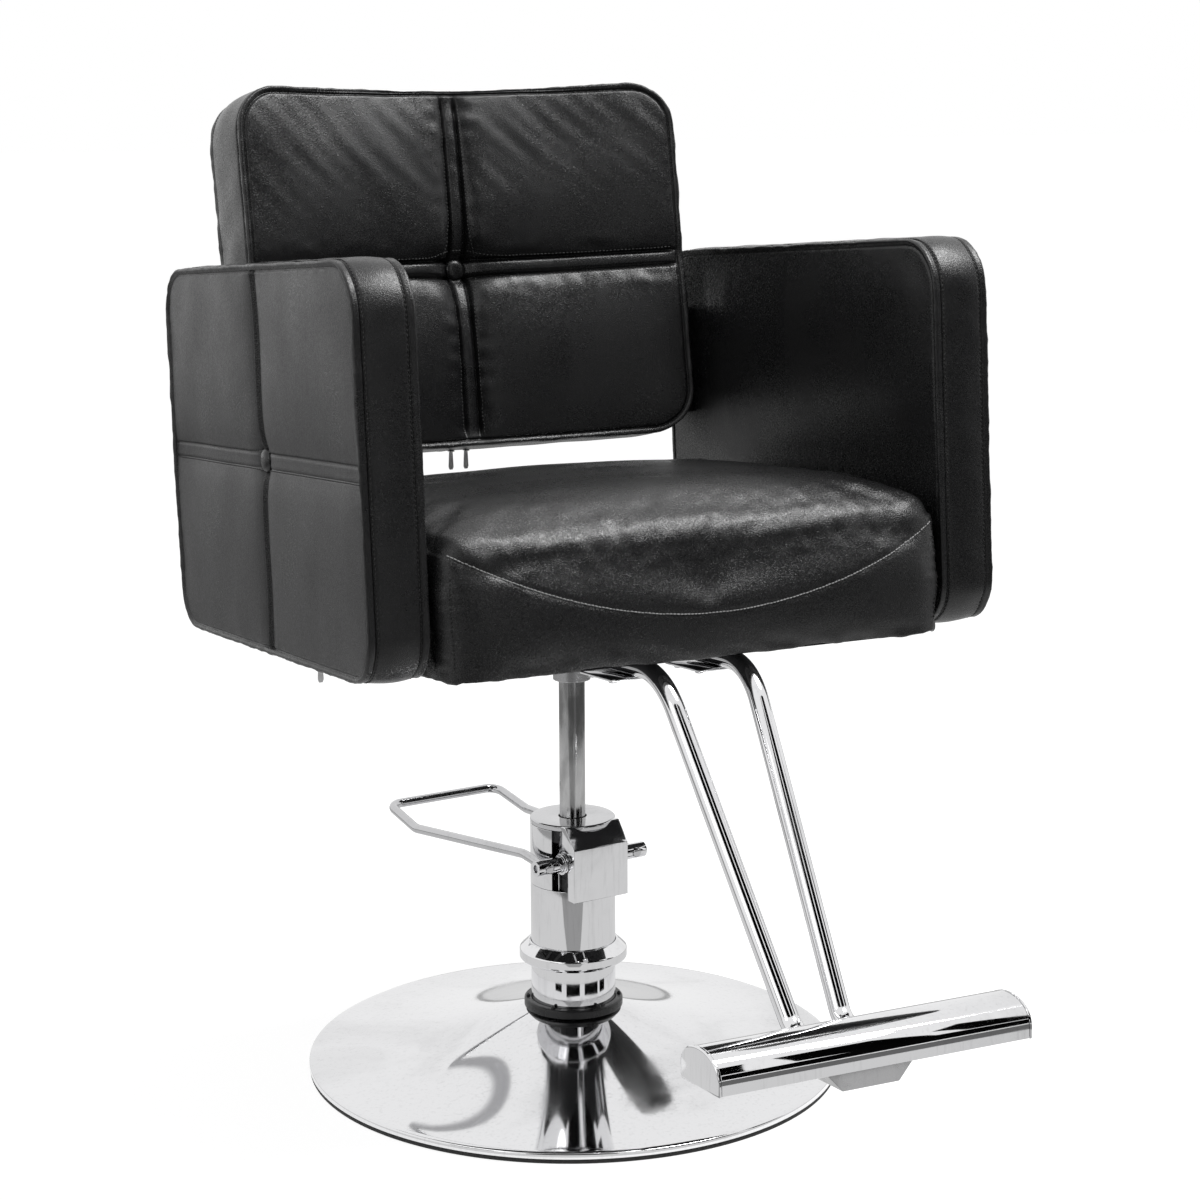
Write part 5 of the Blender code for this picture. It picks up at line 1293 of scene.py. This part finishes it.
pit = min(p[2] for p in (skin.ray_cast(Vector((du, dv, 0.40)), Vector((0, 0, -1)))[0]
                         for du, dv in ((0.002, 0.0), (-0.002, 0.0), (0.0, 0.002))))
button_profile = [(0.0, -0.004), (0.0112, -0.004), (0.0119, -0.001), (0.0120, 0.0012), (0.0114, 0.0030),
                  (0.0098, 0.0046), (0.0072, 0.0056), (0.0038, 0.0061), (0.0, 0.0062)]
onto_arm = {side: seat_place @ Matrix(((0, 0, side, 0), (1, 0, 0, arm_mid_u), (0, 1, 0, arm_mid_v), (0, 0, 0, 1)))
            for side in (-1, 1)}
twin = arm.copy()
twin.data = arm.data.copy()
twin.name = "arm_pad_right"
bpy.context.scene.collection.objects.link(twin)
for side, name, pad in ((-1, "left", arm), (1, "right", twin)):
    moved_to(pad, onto_arm[side])
    pad.data.materials.append(arm_cover)
    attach(pad, body_of("arm_left_cushion"))
    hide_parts("arm_" + name + "_cushion")
    swap = Matrix.Identity(4) if side > 0 else Matrix.Diagonal((1, -1, 1, 1))
    repeat_shape("arm_stitches_" + name, [onto_arm[side] @ m @ swap for m in arm_stitches], stitch, dark_thread,
                 body_of("arm_left_cushion"), 1.2)
    add_piece("arm_stud_" + name, *turned(button_profile, 56, closed=False), button_cover, "black_leather",
              node="arm_" + name + "_button", sharp=80.0,
              place=onto_arm[side] @ Matrix.Translation((0, 0, pit + 0.0006)))


# ---------------------------------------------------------------- backrest
# A deep boxed cushion, hollowed to the sitter's back, quartered by two deep channels with a flat
# strip between their stitched edges, and drawn in by one button. A covered panel closes it behind.
BACK_HALF, BACK_THICK, BACK_HOLLOW, BACK_RADIUS = 0.253, 0.100, 0.040, 0.046
BACK_LOW, BACK_TOP, BACK_LEAN = 0.230, 0.617, 5.5
back_height = (BACK_TOP - BACK_LOW) / math.cos(math.radians(BACK_LEAN))
back_half_v = back_height / 2
back_radii = (BACK_RADIUS,) * 4
back_upright = Matrix(((1, 0, 0, 0), (0, 0, -1, 0), (0, 1, 0, 0), (0, 0, 0, 1)))
onto_back = (seat_place @ Matrix.Translation((0.0, BACK_EDGE_Y, BACK_LOW))
             @ Matrix.Rotation(math.radians(-BACK_LEAN), 4, 'X') @ back_upright
             @ Matrix.Translation((0.0, back_half_v, 0.0)))


def back_hollow(u):
    """How far the backrest is bowed back at its middle."""
    return -BACK_HOLLOW * (1 - (u / BACK_HALF) ** 2)


def back_front(u, v, d):
    """The front, full between its channels."""
    crown = 0.0085 * (1 - math.exp(-d / 0.035))
    return back_hollow(u) + crown - 0.0035 * math.exp(-(min(abs(u), abs(v)) / 0.020) ** 2)


def back_rear(u, v, d):
    """The rear, bowed as the front is."""
    return back_hollow(u) - BACK_THICK


back_band = across_band([0.017, 0.026, 0.037], BACK_THICK)
form = stuffed_form(BACK_HALF, back_half_v, back_radii, PAD_MARGIN,
                    spaced(BACK_HALF - PAD_MARGIN, PAD_PITCH, strip_lines),
                    spaced(back_half_v - PAD_MARGIN, PAD_PITCH, strip_lines), edge_rings, back_band, back_front,
                    back_rear, lambda u, v, way, part: 0.0034 * math.sin(math.pi * part) ** 0.7)


def back_held(u, v, e):
    """Held at the seams, the channels and the button."""
    if -0.006 < e < 0.0095 or e > BACK_THICK - 0.0095:
        return 1.0
    if e < 0:
        return 1.0 if abs(u) < 0.010 or abs(v) < 0.010 or math.hypot(u, v) < 0.02 else 0.0
    return 0.5


back = swollen("back_pad", *form, back_held, 0.007)
u, v, e = lay_of(back)
at = points_of(back.data)
on_front = e < 0
from_button = np.hypot(u, v)
relief = 0.0015 * both_edges(e, BACK_THICK, 0.0, 0.0030)
relief -= 0.0024 * both_edges(e, BACK_THICK, 0.0052, 0.0014)
relief -= 0.0018 * both_edges(e, BACK_THICK, -BAND_SEAM, 0.0012)
inside = np.clip((-e - 0.004) / 0.012, 0, 1) * on_front
nearest = np.minimum(np.abs(u), np.abs(v))
towards_button = 1.0 + 0.7 * dent(from_button, 0.10)
CHANNEL_EDGE, CHANNEL_STITCH, STRIP_END = 0.0075, 0.0092, 0.013
relief -= inside * towards_button * (0.0046 * dent(np.abs(v) - CHANNEL_EDGE, 0.0018)
                                     + 0.0046 * dent(np.abs(u) - CHANNEL_EDGE, 0.0018)
                                     + 0.0042 * dent(v, 0.015) + 0.0042 * dent(u, 0.015))
relief += inside * (0.0014 * dent(v, 0.0042) * (np.abs(u) > STRIP_END)
                    + 0.0014 * dent(u, 0.0042) * (np.abs(v) > STRIP_END))
relief -= on_front * (0.0125 * dent(from_button, 0.030) + 0.0030 * dent(from_button - BUTTON_RIM, 0.0018))
relief += inside * 0.0008 * dent(nearest - 0.016, 0.012) * ripple(at, 0.016, 21)
slant = np.stack([(u + v) * 1.0, (u - v) * 0.22, u * 0.0], axis=1)
relief += inside * 0.0005 * ripple(slant, 0.026, 22) * np.clip((v - 0.02) / 0.12, 0, 1)
relief += on_front * 0.0012 * ripple(at, 0.11, 23)
relief -= (e > -0.003) * (v > back_half_v - 0.016) * 0.0030 * dent(u, 0.12)
relief += 0.0004 * ripple(at, 0.012, 24) * both_edges(e, BACK_THICK, 0.0, 0.010)
relief += (~on_front) * (e < BACK_THICK) * 0.0006 * ripple(at, 0.05, 25)


def back_limits(at):
    """Keeps the sides off the arms and the rear off the panel."""
    at[:, 0] = np.clip(at[:, 0], -0.2571, 0.2571)
    rear = -BACK_HOLLOW * (1 - (np.clip(at[:, 0], -BACK_HALF, BACK_HALF) / BACK_HALF) ** 2) - BACK_THICK
    at[:, 2] = np.maximum(at[:, 2], rear - 0.0008)
    return at


shaped_by(back, relief, back_limits)
skin = skin_of(back)
edge_row = [(x, y, back_hollow(max(-BACK_HALF, min(BACK_HALF, x))) - BAND_SEAM)
            for x, y, _ in outline_path(BACK_HALF, back_half_v, back_radii, 0.0, 0.003)]
back_stitches = stitches_along(skin, edge_row, 0.0036, 0.0001, closed=True)
rear_row = [(x, y, z - BACK_THICK + 0.0142) for x, y, z in edge_row]
back_stitches += stitches_along(skin, rear_row, 0.0036, 0.0001, closed=True)
channel_stitches = []
for offset in (-CHANNEL_STITCH, CHANNEL_STITCH):
    level_row = [(x / 1000, offset, back_hollow(x / 1000) + 0.004) for x in range(-240, 241, 5) if abs(x) > 13]
    upright_row = [(offset, y / 1000, -BACK_HOLLOW + 0.004) for y in range(-182, 183, 5) if abs(y) > 13]
    channel_stitches += stitches_along(skin, level_row, 0.0042, 0.0001)
    channel_stitches += stitches_along(skin, upright_row, 0.0042, 0.0001)
pit = skin.ray_cast(Vector((0.003, 0.002, 0.10)), Vector((0, 0, -1)))[0][2]
back_cover = leatherette("back_leatherette", cover_black, 0.31, 0.8, specks=0.12)
moved_to(back, onto_back)
back.data.materials.append(back_cover)
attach(back, body_of("back_cushion"))
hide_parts("back_cushion")
repeat_shape("back_edge_stitches", [onto_back @ m for m in back_stitches], stitch, dim_thread,
             body_of("back_cushion"))
repeat_shape("back_channel_stitches", [onto_back @ m for m in channel_stitches], stitch, dim_thread,
             body_of("back_cushion"))
add_piece("back_stud", *turned(button_profile, 56, closed=False), button_cover, "black_leather", node="back_button",
          sharp=80.0, place=onto_back @ Matrix.Translation((0, 0, pit + 0.0006)))

# The panel behind: thin board under the same cover, its edge turned in and stitched.
PANEL_MARGIN, PANEL_THICK, PANEL_GAP, PANEL_EDGE = 0.022, 0.004, 0.0012, 0.008


def panel_inside(u, v, d):
    """The face towards the cushion."""
    return back_rear(u, v, d) - PANEL_GAP


def panel_outside(u, v, d):
    """The face to the rear: its edge rounded, its middle full, a groove along its stitches."""
    rounding = 0.0012 * math.exp(-d / 0.0015)
    fullness = 0.0006 * (1 - math.exp(-d / 0.02))
    groove = 0.0007 * math.exp(-((d - 0.0048) / 0.0009) ** 2)
    return back_rear(u, v, d) - PANEL_GAP - PANEL_THICK + rounding - fullness + groove


panel_half_u, panel_half_v = BACK_HALF - PANEL_MARGIN, back_half_v - PANEL_MARGIN
panel_radii = (BACK_RADIUS - PANEL_MARGIN / 2,) * 4
verts, faces, _ = stuffed_form(panel_half_u, panel_half_v, panel_radii, PANEL_EDGE,
                               spaced(panel_half_u - PANEL_EDGE, 0.012, []),
                               spaced(panel_half_v - PANEL_EDGE, 0.012, []),
                               [0.0062, 0.0048, 0.0036, 0.0024, 0.0012, 0.0004, 0.0],
                               [0.0008, 0.002, 0.0032, PANEL_THICK], panel_inside, panel_outside,
                               lambda u, v, way, part: 0.0)
panel = add_piece("back_cover_panel", verts, faces, back_cover, "black_leather", node="back_panel", sharp=60.0)
skin = skin_of(panel)
row = [(x * 0.979, y * 0.974, back_rear(x, 0, 0) - 0.0055)
       for x, y, _ in outline_path(panel_half_u, panel_half_v, panel_radii, 0.0)]
panel_stitches = stitches_along(skin, row, 0.0042, 0.0001, closed=True)
panel.data.transform(onto_back)
panel.data.update()
repeat_shape("panel_stitches", [onto_back @ m for m in panel_stitches], stitch, dark_thread,
             body_of("back_panel"))
for name in ("left", "right"):
    refined("back_bracket_bar_" + name, "back_bracket_" + name, black, 0.0006)


# ---------------------------------------------------------------- footrest
# Two bent steel tubes, clamped under the seat, carry a wide hollow bar with a domed top. All of it
# is chromed, and thin chromed caps close the bar's ends.
TUBE_RADIUS, BAR_HALF, BAR_LOW, BAR_HEIGHT, BAR_FRONT, BAR_REAR = 0.0095, 0.1516, -0.2655, 0.034, -0.592, -0.524
TUBE_TOP_X, TUBE_LOW_X, TUBE_KNEE_Y, TUBE_SLOPE = 0.046, 0.025, -0.300, 57.5
tube_z = under_lining - TUBE_RADIUS
heel_z = BAR_LOW + TUBE_RADIUS
heel_y = TUBE_KNEE_Y - (tube_z - heel_z) / math.tan(math.radians(TUBE_SLOPE))


def bar_section(grow, steps=56):
    """D-shaped section of the bar: flat below, domed on top, with a short upright lip."""
    front, rear, low, high = BAR_FRONT - grow, BAR_REAR + grow, BAR_LOW - grow, BAR_LOW + BAR_HEIGHT + grow
    skirt = low + BAR_HEIGHT * 0.28
    dome = [((front + rear) / 2 + (rear - front) / 2 * math.cos(math.pi * i / steps),
             skirt + (high - skirt) * max(0.0, math.sin(math.pi * i / steps)) ** 0.8) for i in range(steps + 1)]
    corner = 0.0012
    return [(front, low + corner), (front + corner * 0.3, low + corner * 0.3), (front + corner, low),
            (rear - corner, low), (rear - corner * 0.3, low + corner * 0.3), (rear, low + corner)] + dome


def long_section(sections, capped=True):
    """Joins equal outlines in the (y, z) plane at a run of x stations."""
    verts = [(x, y, z) for x, outline in sections for y, z in outline]
    return verts, tube_faces(len(sections), len(sections[0][1]), capped)


BAR_WALL, BAR_EDGE = 0.002, 0.0004
outer = [(-BAR_HALF, bar_section(-BAR_EDGE)), (-BAR_HALF + BAR_EDGE, bar_section(0.0)),
         (BAR_HALF - BAR_EDGE, bar_section(0.0)), (BAR_HALF, bar_section(-BAR_EDGE))]
inner = [(BAR_HALF, bar_section(-BAR_WALL)), (-BAR_HALF, bar_section(-BAR_WALL))]
verts, faces = long_section(outer + inner, capped=False)
count = len(inner[0][1])
faces += [(5 * count + i, 5 * count + (i + 1) % count, (i + 1) % count, i) for i in range(count)]
add_piece("foot_bar", verts, faces, chrome, "polished_chrome", node="footrest_bar", place=seat_place)

for side, name in ((-1, "left"), (1, "right")):
    near = side * (BAR_HALF + GAP)
    stations = [(near, bar_section(-0.0002)), (near + side * 0.0004, bar_section(0.0004)),
                (near + side * 0.0018, bar_section(0.0004)), (near + side * 0.0026, bar_section(-0.0004)),
                (near + side * 0.003, bar_section(-0.0022))]
    add_piece("bar_cap_" + name, *long_section(stations), chrome, "polished_chrome", node="footrest_cap_" + name,
              place=seat_place)

    top_x, low_x = side * TUBE_TOP_X, side * TUBE_LOW_X
    corners = [(top_x, -0.090, tube_z), (top_x, TUBE_KNEE_Y, tube_z), (low_x, heel_y, heel_z),
               (low_x, BAR_REAR - GAP, heel_z)]
    path = rounded_path(corners, [0.070, 0.024], 24)
    add_piece("foot_tube_" + name, *bar_along(path, [(TUBE_RADIUS - 0.0007, 0.0), (TUBE_RADIUS, -0.0007)], 56),
              chrome, "polished_chrome", node="footrest_tube_" + name, place=seat_place)
    refined("clamp_" + name, "tube_clamp_" + name, chrome, 0.0006)
refined("bar_shoe", "footrest_bracket", ground, 0.0008)

clamp_bolt = screw_shape("clamp_bolt", 0.0042, 0.0028, 0.0019)
clamp_low = tube_z - TUBE_RADIUS - GAP - 0.003
places = [facing(seat_place @ Vector((side * TUBE_TOP_X + shift, y, clamp_low)), downward, (1, 0, 0))
          for side in (-1, 1) for shift in (-0.018, 0.018) for y in (-0.232, -0.188)]
repeat_shape("clamp_bolts", places, clamp_bolt, screw_steel, body_of("tube_clamp_left"))


# ---------------------------------------------------------------- zip sliders and pulls
# The arms' and the backrest's covers close with zips along their lower seams. Each zip has a small
# steel slider, and a pull that hangs from it.
# Pale, half-metal steel for the zips: its pale colour is a painted highlight, standing in for the bright reflections
# that the small pulls and sliders show.
zip_steel = metal_finish("zip_steel", (0.88, 0.88, 0.88), 0.36, 0.10, 80.0)
zip_steel.node_tree.nodes["Principled BSDF"].inputs["Metallic"].default_value = 0.5
for name in ("back_zip_1", "back_zip_2", "arm_zip_left", "arm_zip_right"):
    refined(name + "_tab", name + "_pull", zip_steel, 0.0003, sharp=25.0)
    low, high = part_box(name + "_pull")
    x, y, top = (low.x + high.x) / 2, (low.y + high.y) / 2, high.z
    outline = softened([(-0.0028, -0.0050), (0.0028, -0.0050), (0.0034, 0.0010), (0.0020, 0.0055), (-0.0020, 0.0055),
                        (-0.0034, 0.0010)], 0.0012)
    levels = [(top + 0.0005, 0.86), (top + 0.0008, 1.0), (top + 0.0015, 1.0), (top + 0.0018, 0.9)]
    verts = [(x + a * part, y + b * part, z) for z, part in levels for a, b in outline]
    add_piece(name + "_slider", verts, tube_faces(len(levels), len(outline)), zip_steel, "ground_steel",
              body=body_of("seat_cushion"))
